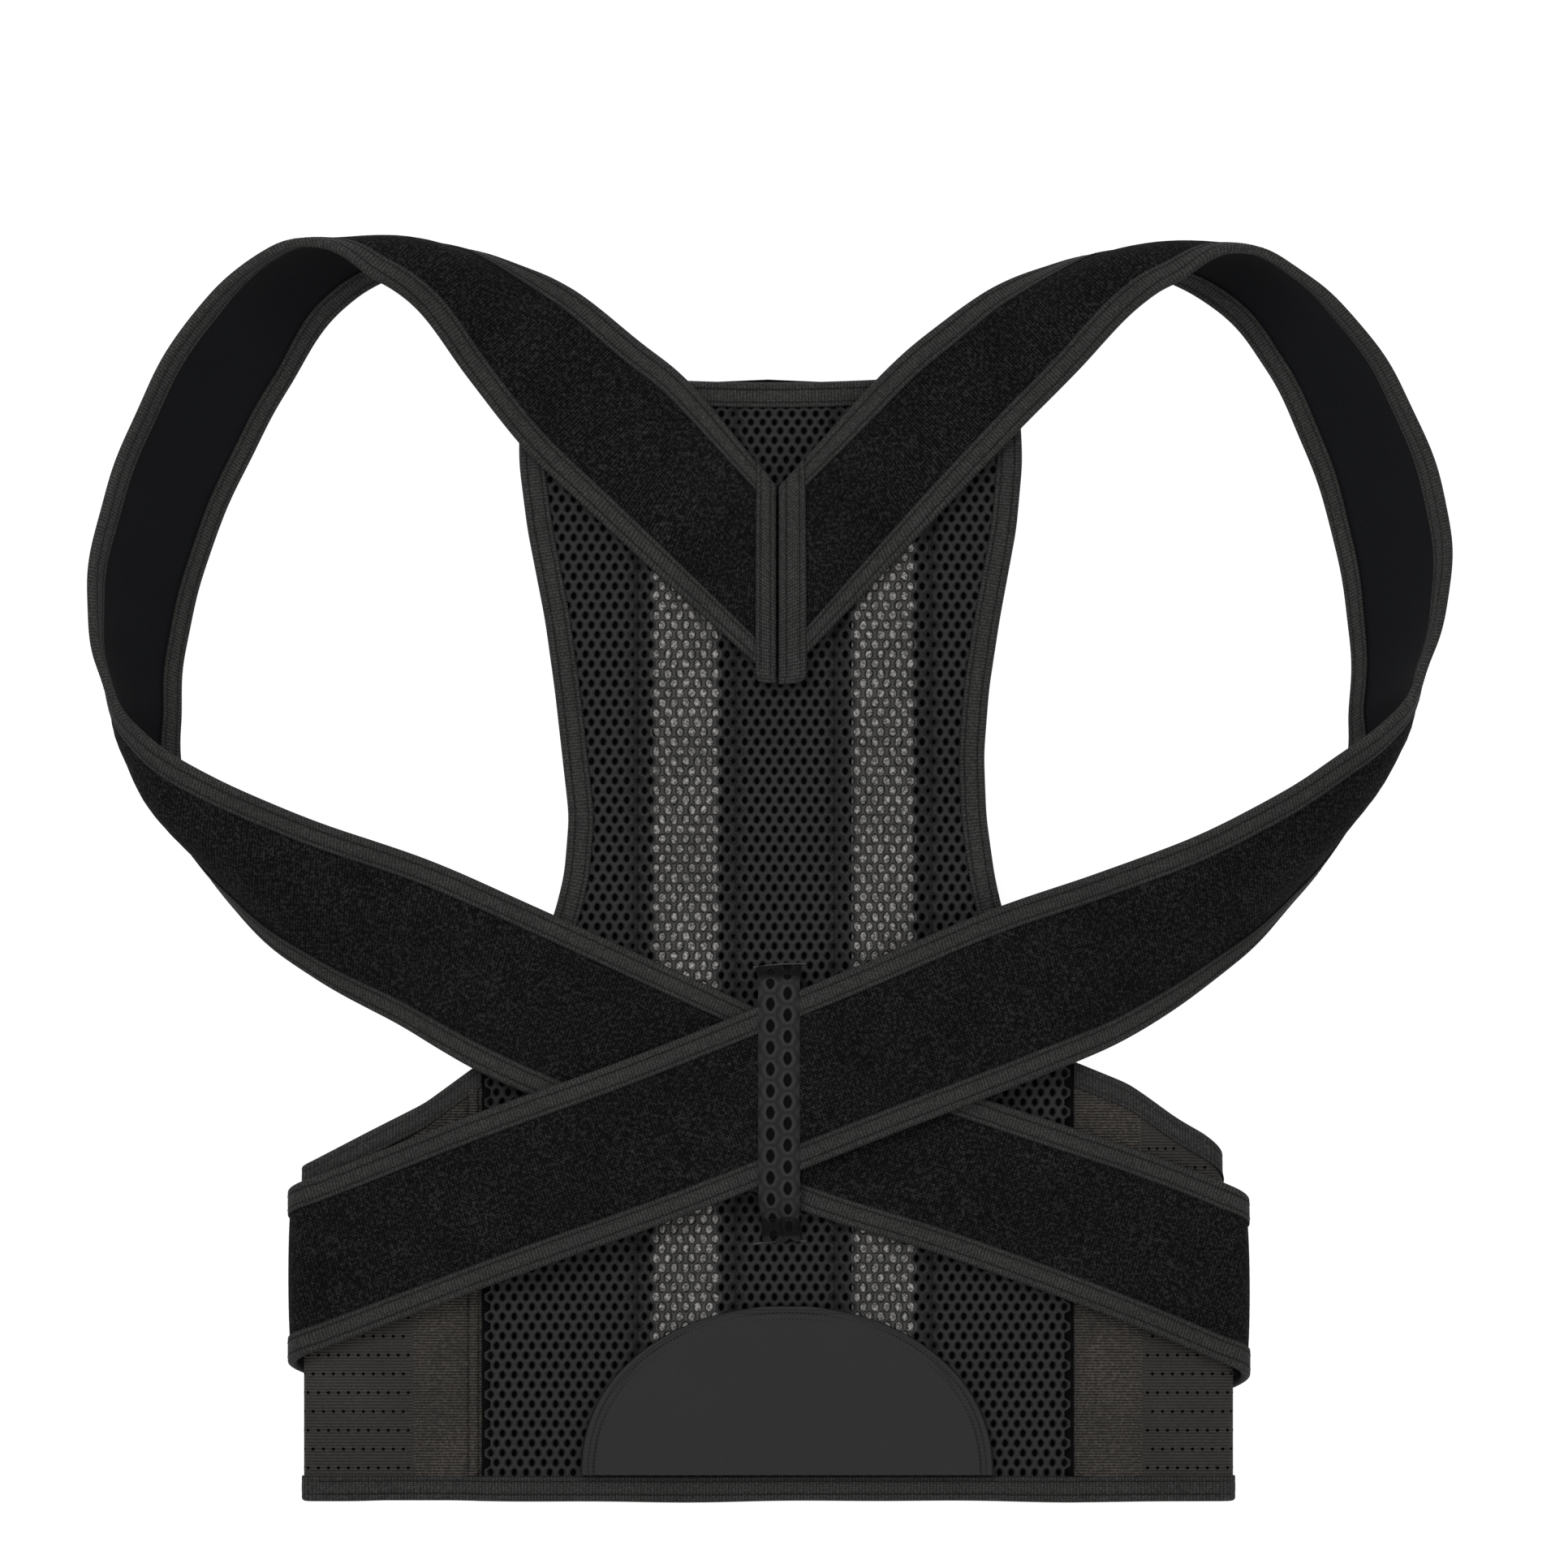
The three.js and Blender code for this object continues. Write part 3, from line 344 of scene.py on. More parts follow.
    def wing_end(self, side: Side) -> float:
        """Where the wing on a side ends, along the cloth from the centre line round the fold."""
        fold = self.belt_fold(side)
        return 2 * fold.start + fold.arc + self.overlap / 2

    @property
    def strap_fold(self) -> Fold:
        """The fold of both straps round the belt."""
        reach = self.half + self.inset + 7 * self.clearance + self.strap_floor
        return Fold(self.belt_level + self.side_stack + self.strap_floor, self.strap_floor, reach)

    def placed(self, points: np.ndarray) -> np.ndarray:
        """Points in metres in the frame of the solids."""
        return (points + np.array(self.shift)) / 1000.0


def measured_lay() -> Lay:
    """The lay, shifted so that the hem's tape meets its solid.

    Returns:
        The shared sizes with their way into the frame.
    """
    plain = Lay()
    low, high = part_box("hem_binding")
    shift = (
        (low[0] + high[0]) * 500,
        low[1] * 1000,
        high[2] * 1000 - (plain.belt_level + plain.mesh_top + plain.inset),
    )
    return Lay(shift=tuple(float(v) for v in shift))


# Shaders.


# What a node's input takes: another node's socket, a number or a colour.
Input = bpy.types.NodeSocket | float | tuple[float, ...]


@dataclass
class Bench:
    """A short way to add nodes to one shader or geometry tree."""

    tree: bpy.types.NodeTree

    def add(self, kind: str, inputs: dict | None = None, **settings) -> bpy.types.Node:
        """Adds a node.

        Args:
            kind: The node's type name.
            inputs: Values or sockets for its inputs, by name or number.
            **settings: Properties of the node.

        Returns:
            The new node.
        """
        node = self.tree.nodes.new(kind)
        for name, value in settings.items():
            setattr(node, name, value)
        for name, value in (inputs or {}).items():
            socket = node.inputs[name]
            if isinstance(value, bpy.types.NodeSocket):
                self.tree.links.new(value, socket)
            else:
                socket.default_value = value
        return node

    def math(self, operation: str, *values: Input, clamp: bool = False) -> bpy.types.NodeSocket:
        """A Math node's result."""
        inputs = dict(enumerate(values))
        return self.add("ShaderNodeMath", inputs, operation=operation, use_clamp=clamp).outputs[0]

    def mix(self, share: Input, first: Input, second: Input) -> bpy.types.NodeSocket:
        """Two colours mixed."""
        node = self.add("ShaderNodeMix", {0: share, 6: first, 7: second}, data_type="RGBA")
        return node.outputs[2]


def grey(value: float, warm: float = 0.0) -> tuple[float, float, float, float]:
    """A grey as linear light, a little warmer or cooler."""
    return value * (1 + warm), value, value * (1 - warm), 1.0


def add_sockets(tree: bpy.types.NodeTree, inputs: dict[str, tuple[str, object]],
                outputs: dict[str, str]) -> None:
    """Gives a node group its named inputs and outputs.

    Args:
        tree: The group.
        inputs: Kind and first value of each input by name, with None where it has no value.
        outputs: Kind of each output by name.
    """
    for title, (kind, value) in inputs.items():
        socket = tree.interface.new_socket(name=title, in_out="INPUT", socket_type=f"NodeSocket{kind}")
        if value is not None:
            socket.default_value = value
    for title, kind in outputs.items():
        tree.interface.new_socket(name=title, in_out="OUTPUT", socket_type=f"NodeSocket{kind}")


def relief_group() -> bpy.types.NodeTree:
    """The shared effect of ribs and crossing threads on cloth, worked out from the cloth's own places.

    Returns:
        A group with a shade from 0 to 1 and a bumped normal.
    """
    name = "thread_relief"
    if name in bpy.data.node_groups:
        return bpy.data.node_groups[name]
    tree = bpy.data.node_groups.new(name, "ShaderNodeTree")
    values = {"Across": 1.0, "Along": 1.0, "Weave": 0.5, "Depth": 0.1, "Fuzz": 0.3, "Grain": 1400.0}
    add_sockets(tree, {title: ("Float", value) for title, value in values.items()},
                {"Shade": "Float", "Normal": "Vector"})
    bench = Bench(tree)
    given = bench.add("NodeGroupInput")
    cloth = bench.add("ShaderNodeUVMap", uv_map="cloth")
    parts = bench.add("ShaderNodeSeparateXYZ", {0: cloth.outputs[0]})
    turns = 2 * math.pi * WEAVE_MM
    waves = []
    for axis, pitch in ((0, "Across"), (1, "Along")):
        rows = bench.math("DIVIDE", parts.outputs[axis], given.outputs[pitch])
        scaled = bench.math("MULTIPLY", rows, turns)
        waves.append(bench.math("MULTIPLY_ADD", bench.math("SINE", scaled), 0.5, 0.5))
    crossing = bench.math("MULTIPLY", waves[0], waves[1])
    weave = bench.math("MULTIPLY", crossing, given.outputs["Weave"])
    rib = bench.math("MULTIPLY", waves[1], bench.math("SUBTRACT", 1.0, given.outputs["Weave"]))
    relief = bench.math("ADD", weave, rib)
    place = bench.add("ShaderNodeTexCoord")
    fuzz = bench.add("ShaderNodeTexNoise", {
        "Vector": place.outputs["Object"], "Scale": given.outputs["Grain"], "Detail": 2.0,
    })
    fuzzed = bench.math("MULTIPLY", bench.math("SUBTRACT", fuzz.outputs[0], 0.5), given.outputs["Fuzz"])
    shade = bench.math("ADD", relief, fuzzed, clamp=True)
    bump = bench.add("ShaderNodeBump", {
        "Strength": 1.0, "Height": shade, "Distance": bench.math("MULTIPLY", given.outputs["Depth"], 0.001),
    })
    bench.add("NodeGroupOutput", {"Shade": shade, "Normal": bump.outputs[0]})
    return tree


def wear_group() -> bpy.types.NodeTree:
    """The shared slow unevenness of handled cloth, its small light specks, and the painted shade that each
    point's pit value lays on hollows.

    Returns:
        A group that turns a colour into a slightly uneven one, darkened where shade is painted.
    """
    name = "handled_cloth"
    if name in bpy.data.node_groups:
        return bpy.data.node_groups[name]
    tree = bpy.data.node_groups.new(name, "ShaderNodeTree")
    add_sockets(tree, {"Color": ("Color", None), "Unevenness": ("Float", 0.3), "Specks": ("Float", 0.0)},
                {"Color": "Color"})
    slow_scale, fine_scale, speck_scale, speck_reach, speck_rarity = 38.0, 620.0, 520.0, 0.16, 0.9
    bench = Bench(tree)
    given = bench.add("NodeGroupInput")
    place = bench.add("ShaderNodeTexCoord").outputs["Object"]
    slow = bench.add("ShaderNodeTexNoise", {"Vector": place, "Scale": slow_scale, "Detail": 3.0}).outputs[0]
    fine = bench.add("ShaderNodeTexNoise", {"Vector": place, "Scale": fine_scale, "Detail": 2.0}).outputs[0]
    both = bench.math("ADD", slow, fine)
    gain = bench.math("MULTIPLY_ADD", bench.math("SUBTRACT", both, 1.0), given.outputs["Unevenness"], 1.0)
    toned = bench.add("ShaderNodeVectorMath", {0: given.outputs["Color"], "Scale": gain}, operation="SCALE")
    dots = bench.add("ShaderNodeTexVoronoi", {"Vector": place, "Scale": speck_scale, "Randomness": 1.0})
    near = bench.math("LESS_THAN", dots.outputs["Distance"], speck_reach)
    chance = bench.add("ShaderNodeSeparateColor", {0: dots.outputs["Color"]}).outputs[0]
    rare = bench.math("GREATER_THAN", chance, speck_rarity)
    share = bench.math("MULTIPLY", bench.math("MULTIPLY", near, rare), given.outputs["Specks"])
    specked = bench.mix(share, toned.outputs[0], grey(0.045))
    # Painted shade: each point's pit value darkens the colour towards black in grooves, pores and other
    # hollows.
    pit = bench.add("ShaderNodeAttribute", attribute_name="pit")
    bench.add("NodeGroupOutput", {"Color": bench.mix(pit.outputs["Fac"], specked, grey(0.001))})
    return tree


@dataclass(frozen=True)
class Finish:
    """The look of one cloth: its colour, its threads and how it takes the light."""

    name: str
    slot: str
    color: tuple[float, float, float, float]
    roughness: float = 0.85
    specular: float = 0.3
    across: float = 1.0
    along: float = 1.0
    weave: float = 0.5
    depth: float = 0.1
    fuzz: float = 0.3
    grain: float = 1400.0
    shade: float = 0.0
    light: tuple[float, float, float, float] = (0.1, 0.1, 0.1, 1.0)
    uneven: float = 0.3
    specks: float = 0.0

    def material(self) -> bpy.types.Material:
        """The finish as a material, made once.

        Returns:
            The material.
        """
        if self.name in bpy.data.materials:
            return bpy.data.materials[self.name]
        material = bpy.data.materials.new(self.name)
        material.use_nodes = True
        material.diffuse_color = self.color
        tree = material.node_tree
        bench = Bench(tree)
        surface = tree.nodes["Principled BSDF"]
        relief = bench.add("ShaderNodeGroup", node_tree=relief_group())
        for title, value in (("Across", self.across), ("Along", self.along), ("Weave", self.weave),
                             ("Depth", self.depth), ("Fuzz", self.fuzz), ("Grain", self.grain)):
            relief.inputs[title].default_value = value
        lit = bench.math("MULTIPLY", relief.outputs["Shade"], self.shade)
        # Unevenness, specks and the painted shade of hollows.
        wear_and_shade = bench.add("ShaderNodeGroup", node_tree=wear_group())
        tree.links.new(bench.mix(lit, self.color, self.light), wear_and_shade.inputs["Color"])
        wear_and_shade.inputs["Unevenness"].default_value = self.uneven
        wear_and_shade.inputs["Specks"].default_value = self.specks
        tree.links.new(wear_and_shade.outputs[0], surface.inputs["Base Color"])
        tree.links.new(relief.outputs["Normal"], surface.inputs["Normal"])
        surface.inputs["Roughness"].default_value = self.roughness
        surface.inputs["Specular IOR Level"].default_value = self.specular
        return material


LOOP = Finish("brushed_loop", "loop_fabric", grey(0.0016), 0.95, 0.06, fuzz=3.4, grain=750.0, weave=1.0,
              depth=0.35, across=1.1, along=1.3, shade=0.8, light=grey(0.021), uneven=1.0, specks=0.6)
LINING = Finish("smooth_lining", "lining", (0.0034, 0.0036, 0.0044, 1), 0.75, 0.05, fuzz=0.6, depth=0.05,
                across=0.7, along=0.7, shade=0.3, light=grey(0.006), uneven=0.3)
TAPE = Finish("woven_tape", "edge_tape", grey(0.0085, 0.03), 0.8, 0.14, across=0.95, along=1.4,
              weave=0.85, depth=0.1, fuzz=2.0, grain=1000.0, shade=0.8, light=grey(0.044, 0.03), uneven=0.5)
NET = Finish("mesh_yarn", "spacer_mesh", grey(0.012, 0.01), 0.75, 0.15, fuzz=1.6, depth=0.12, shade=0.7,
             light=grey(0.028), uneven=0.4)
NET_OVER_STAY = Finish("mesh_yarn_over_stay", "spacer_mesh", grey(0.026, 0.03), 0.7, 0.2, fuzz=1.6,
                       depth=0.1, shade=0.7, light=grey(0.058, 0.03), uneven=0.5)
KEEPER_YARN = Finish("keeper_yarn", "spacer_mesh", grey(0.011, 0.01), 0.7, 0.2, fuzz=1.6, depth=0.12,
                     shade=0.7, light=grey(0.036), uneven=0.4)
DARK_BASE = Finish("dark_base", "lining", grey(0.0022), 0.9, 0.05, fuzz=0.3, depth=0.05, uneven=0.3)
ELASTIC = Finish("ribbed_elastic", "elastic", grey(0.0125, 0.08), 0.8, 0.14, across=0.8, along=1.35,
                 weave=0.2, depth=0.35, fuzz=1.0, shade=0.8, light=grey(0.036, 0.08), uneven=0.5)
RIBBED = Finish("corded_strip", "ribbed_strip", grey(0.0035, 0.1), 0.7, 0.22, across=0.8, along=1.22,
                weave=0.35, depth=0.5, fuzz=1.6, grain=800.0, shade=0.95, light=grey(0.05, 0.16), uneven=1.0)
PATCH = Finish("pressed_patch", "smooth_patch", grey(0.0098), 0.62, 0.2, across=0.5, along=0.5,
               weave=1.0, depth=0.03, fuzz=0.6, shade=0.25, light=grey(0.0165), uneven=0.25)
STAY = Finish("light_stay", "stay", grey(0.11, 0.03), 0.6, 0.25, fuzz=1.6, depth=0.1, shade=0.8,
              light=grey(0.2, 0.03), uneven=0.7)
STAY_BEAD = Finish("stay_bead", "stay", grey(0.045, 0.05), 0.6, 0.2, fuzz=4.0, grain=900.0, depth=0.12,
                   shade=0.9, light=grey(0.25, 0.04), uneven=1.0)
HOOK = Finish("hook_tape", "hook", grey(0.009), 0.8, 0.2, across=1.2, along=1.2, weave=1.0, depth=0.4,
              fuzz=0.6, shade=0.5, light=grey(0.02), uneven=0.4)
THREAD = Finish("dark_thread", "edge_tape", grey(0.004), 0.7, 0.15, fuzz=0.2, depth=0.02)
GREY_THREAD = Finish("grey_thread", "edge_tape", grey(0.07, 0.02), 0.65, 0.2, fuzz=0.2, depth=0.02)
PALE_THREAD = Finish("pale_thread", "edge_tape", grey(0.12, 0.14), 0.6, 0.25, fuzz=0.2, depth=0.02)
# Near-black painted shade for the holes in the elastic.
HOLE_SHADE = Finish("pit", "elastic", grey(0.0012), 1.0, 0.0, fuzz=0.0, depth=0.0, uneven=0.0)


# Mesh making.


def new_object(name: str, points: Sequence, edges: Sequence = (), faces: Sequence = ()) -> bpy.types.Object:
    """An object with a mesh of its own, not yet in the scene.

    Args:
        name: Its name and its mesh's.
        points: The mesh's points.
        edges: Its loose edges.
        faces: Its faces.

    Returns:
        The object.
    """
    mesh = bpy.data.meshes.new(name)
    mesh.from_pydata(points, edges, faces)
    return bpy.data.objects.new(name, mesh)


def mark(mesh: bpy.types.Mesh, name: str, values: Sequence) -> None:
    """Keeps a number or a direction with every point of a mesh.

    Args:
        mesh: The mesh.
        name: The attribute's name.
        values: One number, or three, for each point.
    """
    given = np.asarray(values, dtype=np.float32)
    kind, part = ("FLOAT", "value") if given.ndim == 1 else ("FLOAT_VECTOR", "vector")
    mesh.attributes.new(name, kind, "POINT").data.foreach_set(part, given.ravel())


def ring_faces(rings: int, count: int) -> list[tuple[int, ...]]:
    """Faces between rings of equal length.

    Args:
        rings: Number of rings.
        count: Points in a ring.

    Returns:
        The corners of each face.
    """
    return [
        (k * count + i, k * count + (i + 1) % count, (k + 1) * count + (i + 1) % count, (k + 1) * count + i)
        for k in range(rings - 1) for i in range(count)
    ]


@dataclass
class Cloth:
    """A grid of points with their places on the cloth, ready to become a mesh."""

    name: str
    points: np.ndarray
    weave: np.ndarray
    finishes: Sequence[Finish]
    use: np.ndarray | None = None
    # Painted shade at each point, darkest in grooves and hollows, or None.
    pit: np.ndarray | None = None
    closed: bool = True
    caps: bool = True
    crease: float = 50.0

    def faces(self) -> tuple[np.ndarray, np.ndarray, np.ndarray]:
        """The faces of the grid, with its two ends closed where it is a closed cloth.

        Returns:
            The corners of each face, their places on the cloth, and the number of each face's finish.
        """
        rows, cols = self.points.shape[:2]
        wrap = cols if self.closed else cols - 1
        r, c = np.meshgrid(np.arange(rows - 1), np.arange(wrap), indexing="ij")
        after = (c + 1) % cols
        quads = np.stack([r * cols + c, r * cols + after, (r + 1) * cols + after, (r + 1) * cols + c], -1)
        places = np.stack([self.weave[r, c], self.weave[r, c + 1], self.weave[r + 1, c + 1],
                           self.weave[r + 1, c]], 2)
        use = np.zeros((rows - 1, wrap), int) if self.use is None else np.tile(self.use, (rows - 1, 1))
        quads, places, use = quads.reshape(-1, 4), places.reshape(-1, 2), use.reshape(-1)
        if self.closed and self.caps:
            a = np.arange(cols // 2 - 1)
            end = np.stack([a, a + 1, cols - 2 - a, cols - 1 - a], -1)
            last = end[:, ::-1] + (rows - 1) * cols
            quads = np.concatenate([quads, end, last])
            flat = self.weave[:, :cols].reshape(-1, 2)
            places = np.concatenate([places, flat[end.reshape(-1)], flat[last.reshape(-1)]])
            use = np.concatenate([use, np.zeros(2 * len(a), int)])
        return quads, places, use

    def build(self, lay: Lay) -> bpy.types.Object:
        """Makes the mesh and its object.

        Args:
            lay: The sizes with the way into the frame.

        Returns:
            The new object, linked to the scene.
        """
        quads, places, use = self.faces()
        obj = new_object(self.name, lay.placed(self.points.reshape(-1, 3)).tolist(), faces=quads.tolist())
        mesh = obj.data
        layer = mesh.uv_layers.new(name="cloth")
        layer.data.foreach_set("uv", (places / WEAVE_MM).astype(np.float32).ravel())
        # The painted shade goes with each point as an attribute.
        if self.pit is not None:
            mark(mesh, "pit", np.broadcast_to(self.pit, self.points.shape[:2]).ravel())
        mesh.polygons.foreach_set("material_index", use.astype(np.int32))
        for finish in self.finishes:
            mesh.materials.append(finish.material())
        if self.closed and signed_volume(mesh) < 0:
            mesh.flip_normals()
        mesh.shade_smooth()
        mesh.set_sharp_from_angle(angle=math.radians(self.crease))
        mesh.update()
        return link(obj)


def signed_volume(mesh: bpy.types.Mesh) -> float:
    """Six times the volume that a mesh encloses.

    Args:
        mesh: The closed mesh.

    Returns:
        The volume, negative where the faces look inwards.
    """
    mesh.calc_loop_triangles()
    places = np.empty(len(mesh.vertices) * 3)
    mesh.vertices.foreach_get("co", places)
    corners = np.empty(len(mesh.loop_triangles) * 3, dtype=np.int32)
    mesh.loop_triangles.foreach_get("vertices", corners)
    tri = places.reshape(-1, 3)[corners.reshape(-1, 3)]
    return float(np.einsum("ij,ij->i", tri[:, 0], np.cross(tri[:, 1], tri[:, 2])).sum())


def link(obj: bpy.types.Object) -> bpy.types.Object:
    """Links an object to the scene and lets it ride on the brace.

    Args:
        obj: The piece.

    Returns:
        The same piece.
    """
    bpy.context.scene.collection.objects.link(obj)
    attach(obj, "root")
    LOG.info("made %s: %d faces", obj.name, len(obj.data.polygons))
    return obj


# The upper ply of a folded tape, from its inner edge to its fold: shares of its width, rises in
# thicknesses of the tape, and the shade painted at each point, darkest at the inner edge's step and
# in the grooves. The two rows of stitches lie in its grooves.
TAPE_SHARES = np.array([1.0, 0.985, 0.93, 0.84, 0.79, 0.74, 0.6, 0.45, 0.34, 0.29, 0.24, 0.17])
TAPE_RISE = np.array([-0.45, -0.12, 0.0, 0.0, -0.1, 0.0, 0.06, 0.06, 0.0, -0.1, 0.0, 0.0])
TAPE_SHADE = np.array([0.85, 0.6, 0.05, 0.1, 0.5, 0.1, 0.0, 0.0, 0.1, 0.5, 0.1, 0.0])
TAPE_SEAMS = (0.29, 0.8)
# Points round the fold, and how far a row of stitches starts below the cloth, in millimetres.
FOLD_POINTS = 9
SEAM_DROP = 0.02


def tape_pits() -> np.ndarray:
    """The shade painted on a tape at each point of its outline: darker in its seams' grooves and at its inner
    edge, black in the slot between its plies.
    """
    return np.concatenate([TAPE_SHADE, np.zeros(FOLD_POINTS), TAPE_SHADE[::-1], np.ones(4)])


def rounded_tape(width: float, low: float, high: float, lay: Lay) -> tuple[np.ndarray, np.ndarray]:
    """The outline of a folded tape seen end on, rounded at its fold and at the ends of its plies.

    Args:
        width: How far a ply reaches in from the folded edge.
        low: Lower face of what it covers.
        high: Upper face of what it covers.
        lay: The shared sizes, with the tape's thickness and how far it stands off.

    Returns:
        Distances in from the fold and heights, each running once round.
    """
    middle, half = (low + high) / 2, (high - low) / 2 + lay.inset
    round_fold = np.linspace(math.pi / 2, -math.pi / 2, FOLD_POINTS)
    fold_reach, inner, inside = 1.5, half - lay.tape, lay.tape * 1.4
    top_s, top_h = width * TAPE_SHARES, half + TAPE_RISE * lay.tape
    fold_s = fold_reach * (1 - np.cos(round_fold))
    s = np.concatenate([top_s, fold_s, top_s[::-1], [width, inside, inside, width]])
    h = np.concatenate([top_h, half * np.sin(round_fold), -top_h[::-1], [-inner, -inner, inner, inner]])
    return s, h + middle


def outline_run(s: np.ndarray, h: np.ndarray) -> np.ndarray:
    """Distance run round a closed outline.

    Args:
        s: The outline's points across.
        h: Their heights.

    Returns:
        The distance at each point, with one more entry for the closing step.
    """
    ring = np.stack([s, h], -1)
    steps = np.linalg.norm(np.roll(ring, -1, axis=0) - ring, axis=1)
    return np.concatenate([[0.0], np.cumsum(steps)])


def tape_cloth(name: str, points: np.ndarray, around: np.ndarray, along: np.ndarray,
               lay: Lay) -> bpy.types.Object:
    """A folded tape from the points of its rings.

    Args:
        name: The piece's name.
        points: The points, ring by ring.
        around: Distance run round the tape's outline, with the closing step.
        along: Distance run along the tape at each ring.
        lay: The shared sizes.

    Returns:
        The tape.
    """
    weave = spread(around[None, :], along[:, None])
    return Cloth(name, points, weave, [TAPE], pit=tape_pits(), crease=70).build(lay)


def run_length(points: np.ndarray) -> np.ndarray:
    """Distance run along a row of points."""
    steps = np.linalg.norm(np.diff(points, axis=0), axis=1)
    return np.concatenate([[0.0], np.cumsum(steps)])


def resampled(points: np.ndarray, step: float) -> np.ndarray:
    """Points spaced evenly along a polyline.

    Args:
        points: The polyline.
        step: About how far apart the points lie.

    Returns:
        The new points, with the first and last kept.
    """
    run = run_length(points)
    places = np.linspace(0, run[-1], max(2, round(run[-1] / step) + 1))
    return np.stack([np.interp(places, run, points[:, axis]) for axis in range(points.shape[1])], -1)


def smoothed(points: np.ndarray, step: float, reach: float) -> np.ndarray:
    """A polyline spaced evenly and rounded at its corners, with its ends kept.

    Args:
        points: The polyline.
        step: Distance between the new points.
        reach: How far to each side of a corner it is rounded.

    Returns:
        The new points.
    """
    dense = resampled(points, step)
    count = max(1, round(reach / step))
    window = np.hanning(2 * count + 3)[1:-1]
    window /= window.sum()
    before, after = 2 * dense[0] - dense[count:0:-1], 2 * dense[-1] - dense[-2:-count - 2:-1]
    padded = np.concatenate([before, dense, after])
    return np.stack([np.convolve(padded[:, axis], window, "valid") for axis in range(dense.shape[1])], -1)


# Geometry Nodes.


@dataclass
class GeometryTree:
    """A geometry tree with named inputs that is run once on an object and turned to a plain mesh."""

    name: str
    sizes: dict[str, tuple[str, object]]
    tree: bpy.types.NodeTree = field(init=False)

    def __post_init__(self) -> None:
        """Makes the empty tree with its sockets."""
        self.tree = bpy.data.node_groups.new(self.name, "GeometryNodeTree")
        add_sockets(self.tree, {"Geometry": ("Geometry", None), **self.sizes}, {"Geometry": "Geometry"})

    def run(self, obj: bpy.types.Object, **values) -> None:
        """Runs the tree on an object and keeps the result as its plain mesh, not in the scene.

        Args:
            obj: The object that carries the points or the path.
            **values: The tree's inputs by name.
        """
        objects = bpy.context.scene.collection.objects
        objects.link(obj)
        modifier = obj.modifiers.new(self.name, "NODES")
        modifier.node_group = self.tree
        for item in self.tree.interface.items_tree:
            if item.in_out == "INPUT" and item.name in values:
                modifier[item.identifier] = values[item.name]
        graph = bpy.context.evaluated_depsgraph_get()
        graph.update()
        plain = bpy.data.meshes.new_from_object(obj.evaluated_get(graph), depsgraph=graph)
        obj.modifiers.clear()
        plain.name = obj.name
        obj.data = plain
        objects.unlink(obj)


def hand_out(bench: Bench, given: bpy.types.Node, shape: bpy.types.NodeSocket) -> None:
    """Ends a geometry tree: its shape gets its yarn and smooth faces.

    Args:
        bench: The tree's bench.
        given: The node with the tree's inputs.
        shape: The finished shape, with its instances made real.
    """
    dressed = bench.add("GeometryNodeSetMaterial", {"Geometry": shape, "Material": given.outputs["Yarn"]})
    smooth = bench.add("GeometryNodeSetShadeSmooth", {0: dressed.outputs[0]})
    bench.add("NodeGroupOutput", {0: smooth.outputs[0]})


def tile_tree() -> GeometryTree:
    """A tree that sets one tile on every point of a lattice and joins the tiles at their seams.

    Returns:
        The tree.
    """
    made = GeometryTree("set_tiles", {
        "Tile": ("Object", None), "Join": ("Float", 0.05), "Yarn": ("Material", None),
    })
    bench = Bench(made.tree)
    given = bench.add("NodeGroupInput")
    tile = bench.add("GeometryNodeObjectInfo", {"Object": given.outputs["Tile"]})
    scale = bench.add("GeometryNodeInputNamedAttribute", {"Name": "stretch"}, data_type="FLOAT_VECTOR")
    turn = bench.add("GeometryNodeInputNamedAttribute", {"Name": "turn"}, data_type="FLOAT_VECTOR")
    copies = bench.add("GeometryNodeInstanceOnPoints", {
        "Points": given.outputs["Geometry"], "Instance": tile.outputs["Geometry"],
        "Rotation": turn.outputs["Attribute"], "Scale": scale.outputs["Attribute"],
    })
    real = bench.add("GeometryNodeRealizeInstances", {0: copies.outputs[0]})
    joined = bench.add("GeometryNodeMergeByDistance", {
        "Geometry": real.outputs[0], "Distance": given.outputs["Join"],
    })
    hand_out(bench, given, joined.outputs[0])
    return made


